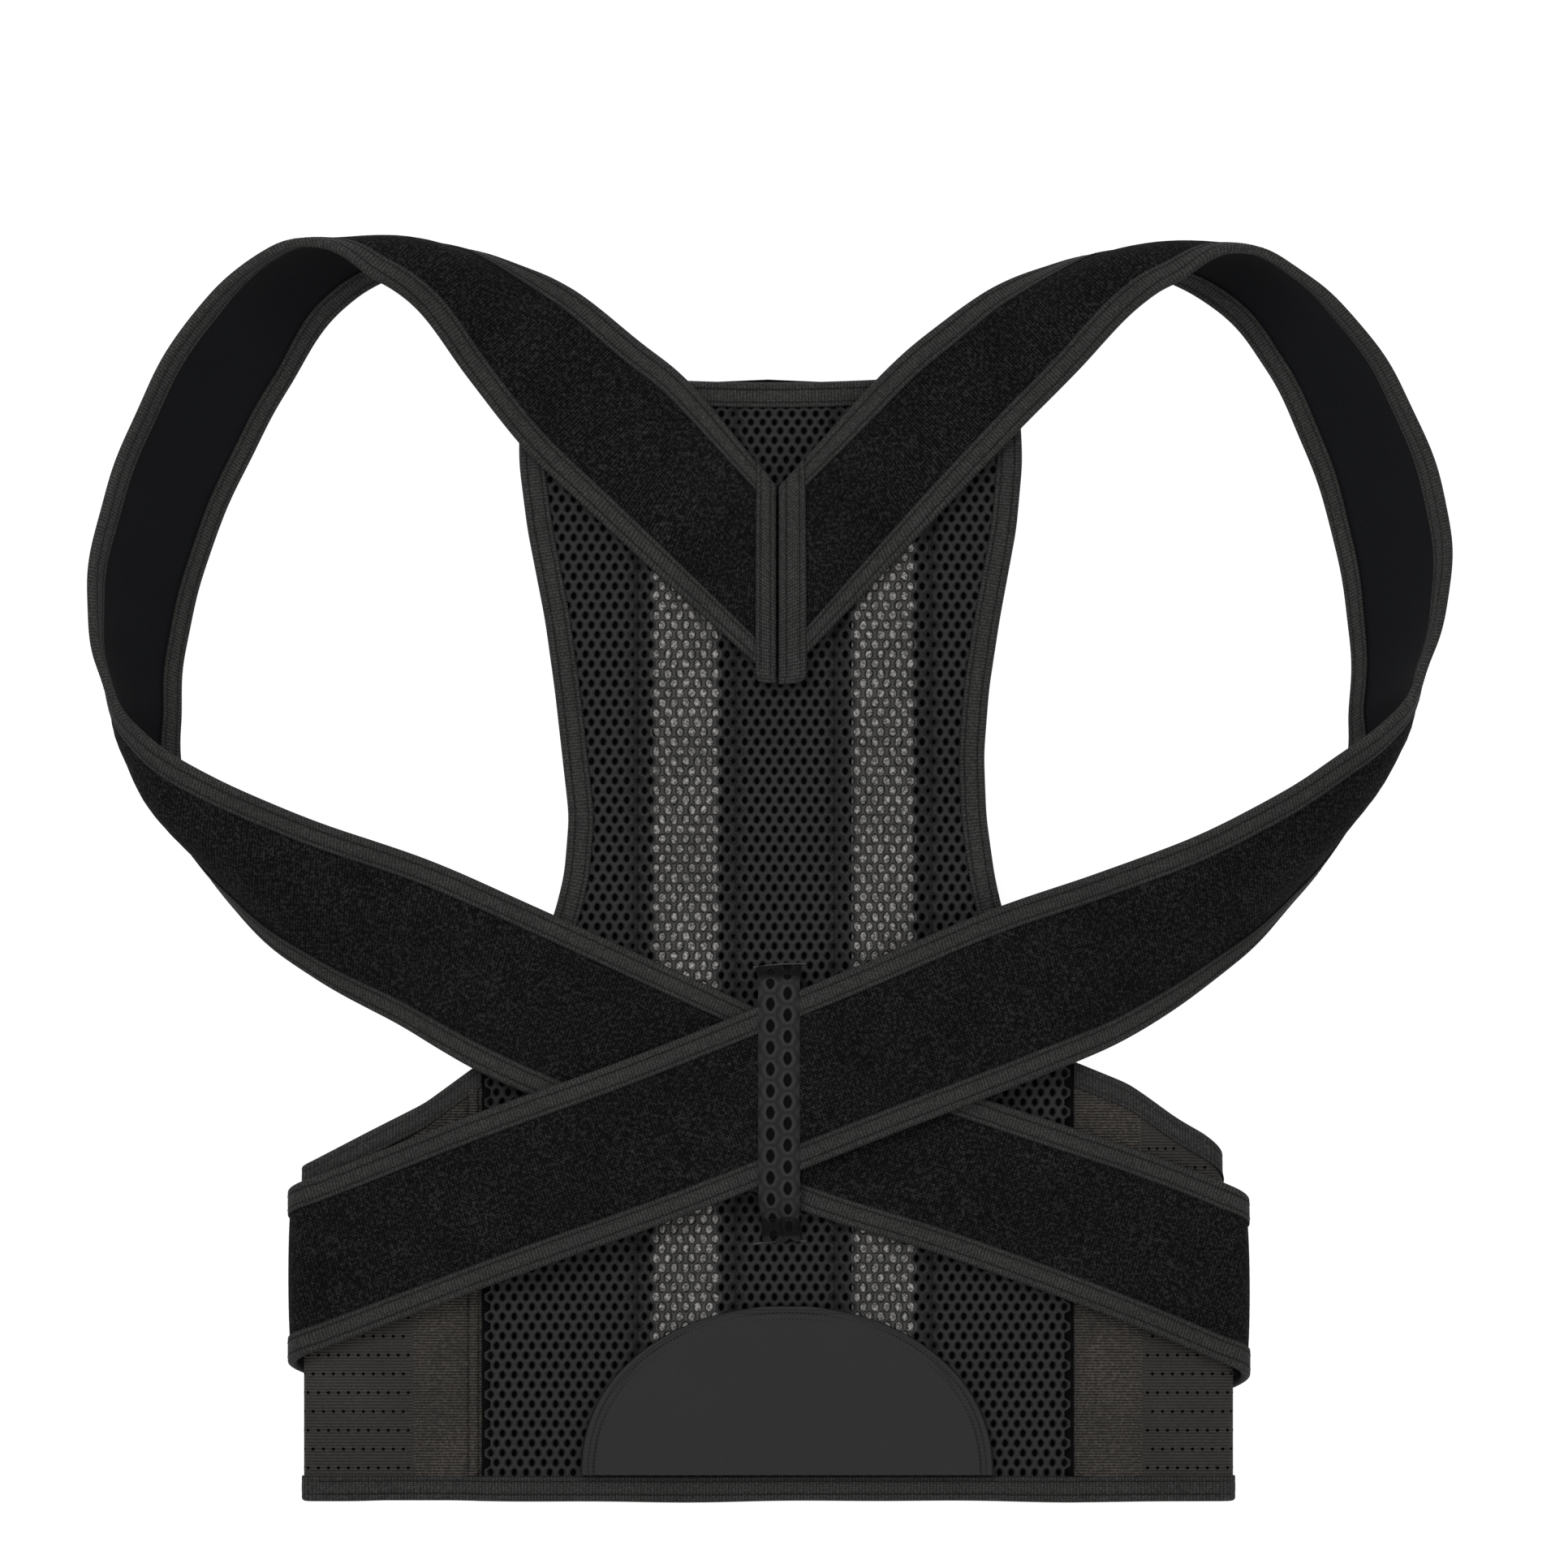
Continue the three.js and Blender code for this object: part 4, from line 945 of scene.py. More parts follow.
def stitch_tree() -> GeometryTree:
    """A tree that lays stitches along a path, turned to and fro as a zigzag machine lays them.

    Returns:
        The tree.
    """
    made = GeometryTree("lay_stitches", {
        "Pitch": ("Float", 0.0013), "Length": ("Float", 0.0022), "Thread": ("Float", 0.0003),
        "Slant": ("Float", 0.6), "Yarn": ("Material", None),
    })
    bench = Bench(made.tree)
    given = bench.add("NodeGroupInput")
    path = bench.add("GeometryNodeMeshToCurve", {0: given.outputs["Geometry"]})
    spaced = bench.add("GeometryNodeResampleCurve",
                       {"Curve": path.outputs[0], "Length": given.outputs["Pitch"]},
                       mode="LENGTH")
    up = bench.add("GeometryNodeInputNamedAttribute", {"Name": "up"}, data_type="FLOAT_VECTOR")
    tangent = bench.add("GeometryNodeInputTangent")
    along = bench.add("FunctionNodeAlignRotationToVector", {"Vector": tangent.outputs[0]}, axis="X")
    upright = bench.add("FunctionNodeAlignRotationToVector", {
        "Rotation": along.outputs[0], "Vector": up.outputs["Attribute"]}, axis="Z", pivot_axis="X")
    number = bench.add("GeometryNodeInputIndex")
    parity = bench.math("MULTIPLY_ADD", bench.math("MODULO", number.outputs[0], 2.0), 2.0, -1.0)
    slant = bench.add("ShaderNodeCombineXYZ", {2: bench.math("MULTIPLY", parity, given.outputs["Slant"])})
    turned = bench.add("FunctionNodeRotateRotation", {
        "Rotation": upright.outputs[0], "Rotate By": slant.outputs[0]}, rotation_space="LOCAL")
    grain = bench.add("GeometryNodeMeshUVSphere", {"Segments": 4, "Rings": 2, "Radius": 0.5})
    size = bench.add("ShaderNodeCombineXYZ", {
        0: given.outputs["Length"], 1: given.outputs["Thread"], 2: given.outputs["Thread"]})
    copies = bench.add("GeometryNodeInstanceOnPoints", {
        "Points": spaced.outputs[0], "Instance": grain.outputs[0], "Rotation": turned.outputs[0],
        "Scale": size.outputs[0],
    })
    real = bench.add("GeometryNodeRealizeInstances", {0: copies.outputs[0]})
    hand_out(bench, given, real.outputs[0])
    return made


@dataclass
class Sewing:
    """The stitches of one sub-assembly, gathered from its paths."""

    lay: Lay
    tree: GeometryTree
    name: str
    finish: Finish = THREAD
    paths: list[tuple[np.ndarray, np.ndarray]] = field(default_factory=list)

    def add(self, points: np.ndarray, up: np.ndarray) -> None:
        """Adds one path with the outward direction at each of its points."""
        self.paths.append((points, np.broadcast_to(up, points.shape)))

    def build(self, pitch: float = 1.3, length: float = 2.2, thread: float = 0.42,
              slant: float = 0.6) -> bpy.types.Object:
        """Sews along all the paths.

        Args:
            pitch: Distance between stitches.
            length: Length of a stitch.
            thread: Thickness of the thread.
            slant: Turn of each stitch from the path, in radians.

        Returns:
            The stitches as one piece.
        """
        points = np.concatenate([path for path, _ in self.paths])
        up = np.concatenate([direction for _, direction in self.paths])
        edges, first = [], 0
        for path, _ in self.paths:
            edges += [(first + i, first + i + 1) for i in range(len(path) - 1)]
            first += len(path)
        obj = new_object(self.name, self.lay.placed(points).tolist(), edges)
        mark(obj.data, "up", up)
        self.tree.run(obj, Pitch=pitch / 1000, Length=length / 1000, Thread=thread / 1000, Slant=slant,
                      Yarn=self.finish.material())
        return link(obj)


@dataclass(frozen=True)
class Tile:
    """One cell of open mesh: a six-sided piece of yarn round an oval pore.

    Each of its steps has a share of the way from the cell's edge to the pore, a rise and the shade painted
    there; the shade deepens into the pore.
    """

    name: str
    across: float
    down: float
    pore: tuple[float, float]
    depth: float = 1.5
    # Painted shade laid over the whole cell.
    dark: float = 0.0
    detail: int = 2
    point: float = 1.0
    narrowing: float = 0.86
    steps: tuple[tuple[float, float, float], ...] = ((0.0, 0.0, 0.0), (0.6, -0.14, 0.4), (1.0, -0.45, 0.78))

    def build(self) -> bpy.types.Object:
        """Makes the cell as an object that is never shown.

        Returns:
            The cell.
        """
        a, b = self.across, self.down
        side_y = (b**2 - (a / 2) ** 2) / (2 * b)
        top_y = (b**2 + (a / 2) ** 2) / (2 * b)
        corners = np.array([(a / 2, -side_y), (a / 2, side_y), (0, top_y),
                            (-a / 2, side_y), (-a / 2, -side_y),
                            (0, -top_y)])
        along = np.arange(self.detail)[None, :, None] / self.detail
        ring = (corners[:, None] + (np.roll(corners, -1, axis=0) - corners)[:, None] * along).reshape(-1, 2)
        angle = np.arctan2(ring[:, 1] / self.pore[1], ring[:, 0] / self.pore[0])
        turned = np.stack([np.cos(angle), np.sin(angle)], -1)
        oval = np.sign(turned) * np.abs(turned) ** self.point * np.array(self.pore) / 2
        levels = [(ring + (oval - ring) * share, rise, pit) for share, rise, pit in self.steps]
        # The pore's wall ends fully dark with painted shade.
        levels.append((oval * self.narrowing, -self.depth, 1.0))
        points = [(x, y, z) for plan, z, _ in levels for x, y in plan]
        cell = new_object(self.name, points, faces=ring_faces(len(levels), len(ring)))
        mark(cell.data, "pit", [self.dark + (1 - self.dark) * pit for _, _, pit in levels for _ in ring])
        return cell


def lattice(across: float, down: float, box: tuple[float, float, float, float]) -> np.ndarray:
    """Centres of staggered cells.

    Args:
        across: Distance between cells in a row.
        down: Distance between rows.
        box: Low x, high x, low y and high y of the field.

    Returns:
        The centres, over the box and a little past it.
    """
    rows = np.arange(math.floor(box[2] / down), math.ceil(box[3] / down) + 1)
    cols = np.arange(math.floor(box[0] / across) - 1, math.ceil(box[1] / across) + 2)
    c, r = np.meshgrid(cols, rows)
    x = (c + 0.5 * (r % 2)) * across
    return np.stack([x.ravel(), (r * down).ravel()], -1)


def circle(count: int = 8) -> np.ndarray:
    """Angles spaced evenly round a circle."""
    return np.linspace(0, 2 * math.pi, count + 1)[:-1]


def scattered(name: str, tree: GeometryTree, tile: bpy.types.Object, points: np.ndarray, finish: Finish,
              stretch: np.ndarray | None = None, turn: np.ndarray | None = None,
              join: float = 0.05) -> bpy.types.Object:
    """Sets a tile on every point, in millimetres and still flat.

    Args:
        name: The piece's name.
        tree: The tree that sets the tiles.
        tile: The tile.
        points: Places as x, y, z.
        finish: What the tiles are made of.
        stretch: Size of each tile, or None for its own size.
        turn: Turn of each tile as three angles, or None.
        join: Distance within which the seams are joined.

    Returns:
        The piece, not yet in the scene's frame.
    """
    obj = new_object(name, points.tolist())
    for label, values, plain in (("stretch", stretch, 1.0), ("turn", turn, 0.0)):
        mark(obj.data, label, np.broadcast_to(plain if values is None else values, points.shape))
    tree.run(obj, Tile=tile, Join=join, Yarn=finish.material())
    return obj


def moved(obj: bpy.types.Object, move: Callable[[np.ndarray], np.ndarray], lay: Lay,
          shade: Callable[[np.ndarray], np.ndarray] | None = None) -> None:
    """Carries every point of a flat piece to its place and into the frame of the solids.

    Args:
        obj: The piece.
        move: What takes flat points to the brace.
        lay: The shared sizes.
        shade: Painted shade of the piece at flat points, added to the shade already painted on it, or None.
    """
    places = np.empty(len(obj.data.vertices) * 3)
    obj.data.vertices.foreach_get("co", places)
    if shade is not None:
        pits = np.empty(len(obj.data.vertices))
        layer = obj.data.attributes["pit"].data
        layer.foreach_get("value", pits)
        layer.foreach_set("value", np.maximum(pits, shade(places.reshape(-1, 3))).astype(np.float32))
    obj.data.vertices.foreach_set("co", lay.placed(move(places.reshape(-1, 3))).ravel())
    obj.data.update()


# The straps.


class StrapRun:
    """A shoulder strap as a surface, from the cut end at the V to the end under the belt."""

    def __init__(self, lay: Lay, rows: np.ndarray, side: Side) -> None:
        """Works out the two edges.

        Args:
            lay: The shared sizes.
            rows: The strap's sections.
            side: The side of the V that the strap starts on.
        """
        self.lay = lay
        self.side = -side.value
        self.fold = lay.strap_fold
        last, before = rows[-1], rows[-2]
        slope = (last[Y] - before[Y]) / (last[X] - before[X])
        end = self.side * (self.fold.start + self.fold.arc + lay.tail) / lay.half
        tail = last.copy()
        tail[X], tail[Y] = end, last[Y] + slope * (end - last[X])
        self.rows = np.vstack([rows, tail])
        self.last = len(self.rows) - 1
        self.fold_row = len(rows) - 4
        neck = self._neck_points()
        self.neck_points, self.arm_points = neck, self._arm_points(neck)

    def _neck_points(self) -> np.ndarray:
        """The neck-side edge at each section.

        Returns:
            A point for each section.
        """
        lay, rows = self.lay, self.rows
        x, y = rows[:, X] * lay.half, rows[:, Y] * lay.length
        level = lay.strap_floor + (lay.strap_level(x, y) - lay.strap_floor) * rows[:, LIFT]
        return np.stack([x, y, level + rows[:, OVER] * lay.strap_step], -1)

    def _arm_points(self, neck: np.ndarray) -> np.ndarray:
        """The arm-side edge at each section.

        Args:
            neck: The neck-side edge at each section.

        Returns:
            A point for each section.
        """
        lay, rows = self.lay, self.rows
        length = rows[:, WIDTH] * lay.strap_width
        lean, turn = np.radians(rows[:, LEAN]), np.radians(rows[:, TURN])
        x = neck[:, 0] + length * np.cos(lean) * np.cos(turn)
        y = neck[:, 1] + length * np.cos(lean) * np.sin(turn)
        slope = (lay.strap_level(x, y) - lay.strap_level(neck[:, 0], neck[:, 1])) * rows[:, LIFT]
        return np.stack([x, y, neck[:, 2] + length * np.sin(lean) + slope], -1)

    @staticmethod
    def edge(points: np.ndarray, t: np.ndarray) -> np.ndarray:
        """One edge at any sections: a centripetal curve in plan, with its heights read smoothly.

        Args:
            points: The edge at each row.
            t: Sections, counted in rows.

        Returns:
            The edge's points.
        """
        count = len(points)
        padded = np.vstack([2 * points[0] - points[1], points, 2 * points[-1] - points[-2]])
        row = np.clip(np.floor(t).astype(int), 0, count - 2)
        s = (t - row)[..., None]
        p0, p1, p2, p3 = (padded[row + k] for k in range(4))
        d0, d1, d2 = (np.maximum(np.linalg.norm(b - a, axis=-1, keepdims=True) ** 0.5, 1e-4)
                      for a, b in ((p0, p1), (p1, p2), (p2, p3)))
        t1 = ((p1 - p0) / d0 - (p2 - p0) / (d0 + d1) + (p2 - p1) / d1) * d1
        t2 = ((p2 - p1) / d1 - (p3 - p1) / (d1 + d2) + (p3 - p2) / d2) * d1
        curve = p1 + t1 * s + (-3 * p1 + 3 * p2 - 2 * t1 - t2) * s**2 + (2 * p1 - 2 * p2 + t1 + t2) * s**3
        heights = points[:, 2]
        steps = np.diff(heights)
        before, after = np.concatenate([steps[:1], steps]), np.concatenate([steps, steps[-1:]])
        both = before * after
        tangents = np.where(both > 0, 2 * both / np.where(before + after == 0, 1, before + after), 0)
        s = s[..., 0]
        bend = tangents[row] * (1 - s) ** 2 * s - tangents[row + 1] * (1 - s) * s**2
        curve[..., 2] = heights[row] + steps[row] * ease(s) + bend
        return curve

    def table(self, column: int, t: np.ndarray) -> np.ndarray:
        """A column of the sections read with soft steps between the rows.

        Args:
            column: The column's number.
            t: Sections, counted in rows.

        Returns:
            The values there.
        """
        row = np.clip(np.floor(t).astype(int), 0, self.last - 1)
        values = self.rows[:, column]
        return values[row] + (values[row + 1] - values[row]) * ease(t - row)

    def middle(self, t: np.ndarray) -> np.ndarray:
        """The middle line of the strap."""
        place = np.clip(t, 0, self.last)
        return (self.edge(self.neck_points, place) + self.edge(self.arm_points, place)) / 2

    def width(self, t: np.ndarray) -> np.ndarray:
        """The width of the strap along its bowed section.

        Args:
            t: Sections, counted in rows.

        Returns:
            The widths.
        """
        across = self.edge(self.arm_points, t) - self.edge(self.neck_points, t)
        chord = np.linalg.norm(across, axis=-1)
        bow = self.table(BOW, t) * self.lay.strap_width
        return chord + 8 * bow**2 / (3 * chord)

    def at(self, t: np.ndarray, u: np.ndarray, h: np.ndarray) -> np.ndarray:
        """Points of the strap.

        Args:
            t: Sections, counted in rows.
            u: Shares of the way from the neck side to the arm side.
            h: Heights above the middle of the strap on its outer side.

        Returns:
            The points.
        """
        t, u, h = np.broadcast_arrays(t, u, h)
        neck = self.edge(self.neck_points, t)
        across = self.edge(self.arm_points, t) - neck
        along = self.middle(t + 0.02) - self.middle(t - 0.02)
        along /= np.linalg.norm(along, axis=-1, keepdims=True)
        normal = np.cross(along, across) * self.side
        normal /= np.linalg.norm(normal, axis=-1, keepdims=True)
        bow = (self.table(BOW, t) * self.lay.strap_width)[..., None]
        angle = (math.pi * u)[..., None]
        slope = across + normal * bow * math.pi * np.cos(angle)
        up = np.cross(along, slope) * self.side
        up /= np.linalg.norm(up, axis=-1, keepdims=True)
        free = 1 - np.clip(self.table(LIFT, t), 0, 1)
        ripple = 0.5 * free * (np.sin(2.9 * t + 1.3 * u) + 0.6 * np.sin(6.1 * t - 2.0 * u + 1.0))
        points = neck + across * u[..., None] + normal * bow * np.sin(angle) + up * (h + ripple)[..., None]
        return np.where((t > self.fold_row)[..., None], self.fold.carry(points), points)

    def stations(self, start: float, step: float) -> np.ndarray:
        """Sections spaced evenly along the middle line, and closer round the fold.

        Args:
            start: The first section.
            step: Distance between sections away from the fold.

        Returns:
            The sections, counted in rows.
        """
        beside, closer = 35, 2.5
        dense = np.linspace(start, self.last, 4000)
        centre = self.middle(dense)
        run = run_length(centre)
        reach = np.abs(centre[:, 0]) - self.fold.start
        turning = (dense > self.fold_row) & (reach > -beside) & (reach < self.fold.arc + beside)
        weight = np.concatenate([[0.0], np.cumsum(np.diff(run) * np.where(turning[1:], closer, 1.0))])
        places = np.linspace(0, weight[-1], round(weight[-1] / step) + 1)
        return np.interp(places, weight, dense)


@dataclass
class ShoulderStrap:
    """One shoulder strap: the padded cloth, its edge tapes, the tape on its cut end and the stitches."""

    lay: Lay
    side: Side
    rows: np.ndarray
    yoke_share: float
    yoke_width: float
    stitches: GeometryTree
    yoke_lift: float = 0.45
    yoke_seams: tuple[float, float] = (0.3, 0.78)
    step: float = 3.0
    puff: float = 0.8
    columns: int = 24

    def build(self) -> list[bpy.types.Object]:
        """Builds and dresses the strap.

        Returns:
            Its pieces.
        """
        self.run = StrapRun(self.lay, self.rows, self.side)
        label = self.side.label
        self.sewing = Sewing(self.lay, self.stitches, f"stitches_strap_{label}")
        band = self.band(f"cloth_strap_{label}")
        neck = self.tape(f"tape_neck_{label}", False)
        arm = self.tape(f"tape_arm_{label}", True)
        yoke = self.yoke(f"tape_yoke_{label}")
        sewn = self.sewing.build()
        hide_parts(f"strap_{label}")
        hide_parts(f"neck_tape_{label}")
        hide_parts(f"arm_tape_{label}")
        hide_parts(f"yoke_tape_{label}")
        return [band, neck, arm, yoke, sewn]

    def band(self, name: str) -> bpy.types.Object:
        """The padded cloth between the tapes, brushed outside and smooth inside.

        Args:
            name: The piece's name.

        Returns:
            The cloth.
        """
        lay, run = self.lay, self.run
        t = run.stations(1.5 * lay.inset / lay.strap_width, self.step)
        self.length = float(run_length(run.middle(t))[-1])
        width = run.width(t)[:, None]
        share = (1 - np.cos(np.linspace(0, math.pi, self.columns))) / 2
        inset = lay.inset / width
        u = inset + share[None, :] * (1 - 2 * inset)
        swell = np.sin(math.pi * np.clip((share * 1.36 - 0.18), 0, 1)) ** 0.6
        free = 1 - np.clip(run.table(LIFT, t), 0, 1)[:, None]
        start = ease((t[:, None] - 0.15) * 4)
        outer = lay.strap_core / 2 + self.puff * swell[None, :] * start
        inner = -lay.strap_core / 2 - (0.15 + 0.5 * free) * swell[None, :] * start
        under = run.at(t[:, None], u[:, ::-1], inner[:, ::-1])
        points = np.concatenate([run.at(t[:, None], u, outer), under], 1)
        weave = spread(both_faces(u * width), run_length(run.middle(t))[:, None])
        return Cloth(name, points, weave, [LOOP, LINING], np.repeat([0, 1], self.columns)).build(lay)

    def tape(self, name: str, arm_side: bool) -> bpy.types.Object:
        """The folded tape along one edge.

        Args:
            name: The piece's name.
            arm_side: Whether it is the edge round the arm.

        Returns:
            The tape.
        """
        lay, run = self.lay, self.run
        t = run.stations(self.yoke_share + lay.clearance / lay.strap_width, self.step)
        s, h = rounded_tape(lay.tape_width, -lay.strap_core / 2, lay.strap_core / 2, lay)
        width = run.width(t)[:, None]

        def shares(distance: np.ndarray) -> np.ndarray:
            """Shares across the strap at a distance from the tape's folded edge."""
            return 1 - distance / width if arm_side else distance / width

        points = run.at(t[:, None], shares(s[None, :]), h[None, :])
        for face in (1, -1):
            for place in TAPE_SEAMS:
                distance = np.full((1, 1), place * lay.tape_width)
                seam = [run.at(t[:, None], shares(distance), np.full((1, 1), face * height))[:, 0]
                        for height in (lay.strap_floor - SEAM_DROP, lay.strap_floor + 1)]
                self.sewing.add(seam[0], seam[1] - seam[0])
        return tape_cloth(name, points, outline_run(s, h), run_length(run.middle(t)), lay)

    def yoke(self, name: str) -> bpy.types.Object:
        """The tape over the cut end at the V, as wide all along however the strap widens.

        Args:
            name: The piece's name.

        Returns:
            The tape.
        """
        lay, run = self.lay, self.run
        speeds = [abs(float(points[1, 0] - points[0, 0])) for points in (run.neck_points, run.arm_points)]
        s, h = rounded_tape(self.yoke_width, -lay.strap_core / 2, lay.strap_core / 2, lay)
        u = np.linspace(0, 1, 60)[:, None]
        speed = speeds[0] + (speeds[1] - speeds[0]) * u
        taper = np.sqrt(np.clip(1 - (1 - np.minimum(1, 22 * (1 - u))) ** 2, 0.05, 1))
        height = np.where(h > 0, h + self.yoke_lift, h) * (0.6 + 0.4 * taper)
        width = float(run.width(np.array([0.0]))[0])
        drop = (run.arm_points[1, 1] - run.arm_points[0, 1]) / speeds[1] / width
        reach = s[None, :] * (0.8 + 0.2 * taper)
        points = run.at(reach / speed, u * (1 + drop * reach), height)
        for place in self.yoke_seams:
            distance = place * self.yoke_width / speed
            seam = [run.at(distance, u, np.full_like(u, height))[:, 0]
                    for height in (lay.strap_floor + self.yoke_lift - SEAM_DROP, lay.strap_floor + 1.5)]
            self.sewing.add(seam[0][1:-1], (seam[1] - seam[0])[1:-1])
        return tape_cloth(name, points, outline_run(s, h), (u * width)[:, 0], lay)


# The back panel.


@dataclass
class BackPanel:
    """The back panel: dark base, open mesh, the light stays under it, its seams and its edge tape."""

    lay: Lay
    tiles: GeometryTree
    stitches: GeometryTree
    across: float = 5.1
    down: float = 4.2
    pore: tuple[float, float] = (2.25, 3.5)
    wide_pore: tuple[float, float] = (3.7, 5.0)
    tight_pore: tuple[float, float] = (1.3, 2.3)
    margin: float = 2.7
    tuck: float = 1.2
    seam_offset: float = 7.6
    seam_depth: float = 1.1
    seam_width: float = 1.6
    split: float = 205.0
    # Rings of each bead: radius, height and painted shade, darkest at the rim where the bead sinks under the
    # yarn.
    bead_rings: tuple[tuple[float, float, float], ...] = (
        (1.7, -0.35, 0.7), (1.25, 0.08, 0.2), (0.55, 0.28, 0.0),
    )
    bead_length: float = 1.4
    bead_drop: float = 0.42

    def outline(self) -> np.ndarray:
        """The panel's rounded outline from the belt's edge on the left over the top to the right.

        Returns:
            Points in plan.
        """
        lay = self.lay
        level = lay.length - lay.corner
        rows = PANEL_SIDES[(PANEL_SIDES[:, 0] > 0) & (PANEL_SIDES[:, 0] * lay.length < level)]
        heights = np.concatenate([[0.0], rows[:, 0] * lay.length, [level]])
        sides = [np.interp(heights / lay.length, PANEL_SIDES[:, 0], PANEL_SIDES[:, column]) * lay.half
                 for column in (1, 2)]
        angle = np.radians(np.linspace(8, 90, 12))
        turn_x, turn_y = lay.corner * (1 - np.cos(angle)), level + lay.corner * np.sin(angle)
        left = np.concatenate([np.stack([sides[0], heights], -1),
                               np.stack([sides[0][-1] + turn_x, turn_y], -1)])
        right = np.concatenate([np.stack([sides[1], heights], -1),
                                np.stack([sides[1][-1] - turn_x, turn_y], -1)])
        share = np.linspace(0, 1, 24)[1:-1]
        top = np.stack([left[-1, 0] + (right[-1, 0] - left[-1, 0]) * share,
                        lay.length - lay.dip * np.sin(math.pi * share)], -1)
        return np.concatenate([left, top, right[::-1]])

    def edges(self, y: np.ndarray, inset: float | np.ndarray) -> tuple[np.ndarray, np.ndarray]:
        """The panel's left and right edges, set in by a distance.

        Args:
            y: Heights along the panel.
            inset: How far in, at all heights or at each.

        Returns:
            Where the left and the right edge lie.
        """
        line = self.smooth
        middle = len(line) // 2
        left, right = line[:middle], line[middle:][::-1]
        return np.interp(y, left[:, 1], left[:, 0]) + inset, np.interp(y, right[:, 1], right[:, 0]) - inset

    def build(self) -> list[bpy.types.Object]:
        """Builds and dresses the panel.

        Returns:
            Its pieces.
        """
        self.smooth = smoothed(self.outline(), 1.5, 9.0)
        base = self.base("panel_base")
        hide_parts("back_panel")
        nets = self.nets()
        for net in nets:
            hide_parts("panel_mesh")
        binding, sewn = self.binding()
        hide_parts("panel_binding")
        for label in ("stay_left", "stay_right"):
            stay = bpy.data.objects.get(label)
            for place in stay.material_slots:
                place.material = STAY.material()
        return [base, *nets, binding, *sewn]

    def base(self, name: str) -> bpy.types.Object:
        """The dark layer behind the mesh, plain on its underside.

        Args:
            name: The piece's name.

        Returns:
            The layer.
        """
        lay = self.lay
        y = np.concatenate([np.linspace(lay.inset, lay.belt_top, 12),
                            np.linspace(lay.belt_top, lay.length - lay.inset - self.tuck, 80)[1:]])
        under_strip = y < (lay.side_top + 0.002) * lay.length
        left, right = self.edges(y, np.where(under_strip, -self.tuck, lay.inset))
        rise = np.clip((y - lay.length + lay.corner) / (lay.corner - lay.inset), 0, 1)
        narrow = (lay.corner - lay.inset) * (1 - np.sqrt(1 - np.clip(rise, 0, 0.995) ** 2))
        corner = rise > 0
        left = np.where(corner, np.maximum(left, -PANEL_TOP[0] * lay.half + lay.inset + narrow), left)
        right = np.where(corner, np.minimum(right, PANEL_TOP[1] * lay.half - lay.inset - narrow), right)
        share = np.linspace(0, 1, 30)
        x = left[:, None] + (right - left)[:, None] * share
        dip = lay.dip * rise[:, None] * np.sin(math.pi * share)
        plan_y = y[:, None] - dip
        level = lay.panel_level(plan_y)
        edge = ease(np.minimum(share, 1 - share) * 60)
        top = spread(x, plan_y, level + lay.base * (0.6 + 0.4 * edge))
        low = spread(x, plan_y, level + lay.base * 0.2 * (1 - edge))[:, ::-1]
        weave = spread(both_faces(x), y[:, None])
        use = np.repeat([0, 1], len(share))
        return Cloth(name, np.concatenate([top, low], 1), weave, [DARK_BASE, LINING], use).build(lay)

    def drape(self, points: np.ndarray) -> np.ndarray:
        """Lays flat mesh on the panel: over the stays, down into the seams beside them.

        Args:
            points: Flat points.

        Returns:
            The points on the panel.
        """
        lay = self.lay
        x, y, z = points.T
        beside = lay.beside_stay(x) - lay.stay_width / 2
        seam = self.seam_depth * bell(beside - self.seam_offset, self.seam_width)
        share = np.clip((x + PANEL_TOP[0] * lay.half) / (sum(PANEL_TOP) * lay.half), 0, 1)
        rise = np.clip((y - lay.length + lay.corner) / lay.corner, 0, 1)
        down = lay.dip * rise * np.sin(math.pi * share)
        level = lay.panel_level(y) + lay.mesh_top + lay.channel_raise(x, y) - seam
        return np.stack([x, y - down, level + z], -1)

    def nets(self) -> list[bpy.types.Object]:
        """The open mesh in four fields, and the light beads of the stays under it.

        Returns:
            The pieces.
        """
        lay = self.lay
        centres = lattice(self.across, self.down, (-lay.half * 0.65, lay.half * 0.68, 8, lay.length - 4))
        left, right = self.edges(centres[:, 1], self.margin)
        inside = (centres[:, 0] > left) & (centres[:, 0] < right) & (centres[:, 1] > 7)
        near_top = centres[:, 1] > lay.length - 7
        centres = centres[inside & ~near_top]
        beside = lay.beside_stay(centres[:, 0])
        over_stay = (beside < lay.stay_width / 2 - 0.4) & (centres[:, 1] > lay.stay_bottom)
        over_stay &= centres[:, 1] < lay.stay_top
        beside_seam = np.abs(beside - lay.stay_width / 2 - self.seam_offset) < 2.6
        plain = Tile("pore_cell", self.across, self.down, self.pore, point=1.12).build()
        wide = Tile("wide_cell", self.across, self.down, self.wide_pore, depth=0.5,
                    steps=((0.0, 0.0, 0.0), (0.6, -0.08, 0.3), (1.0, -0.25, 0.7))).build()
        # Cells in the seams beside the stays, where the mesh dips, carry painted shade.
        tight = Tile("tight_cell", self.across, self.down, self.tight_pore, dark=0.5).build()
        fields = (
            ("mesh_lower", plain, ~over_stay & ~beside_seam & (centres[:, 1] < self.split), NET),
            ("mesh_upper", plain, ~over_stay & ~beside_seam & (centres[:, 1] >= self.split), NET),
            ("mesh_seams", tight, ~over_stay & beside_seam, NET),
            ("mesh_over_stays", wide, over_stay, NET_OVER_STAY),
        )
        made = []
        for name, tile, chosen, finish in fields:
            net = scattered(name, self.tiles, tile, spread(*centres[chosen].T, 0.0), finish)
            moved(net, self.drape, lay)
            made.append(link(net))
        made.append(self.beads(centres[over_stay]))
        return made

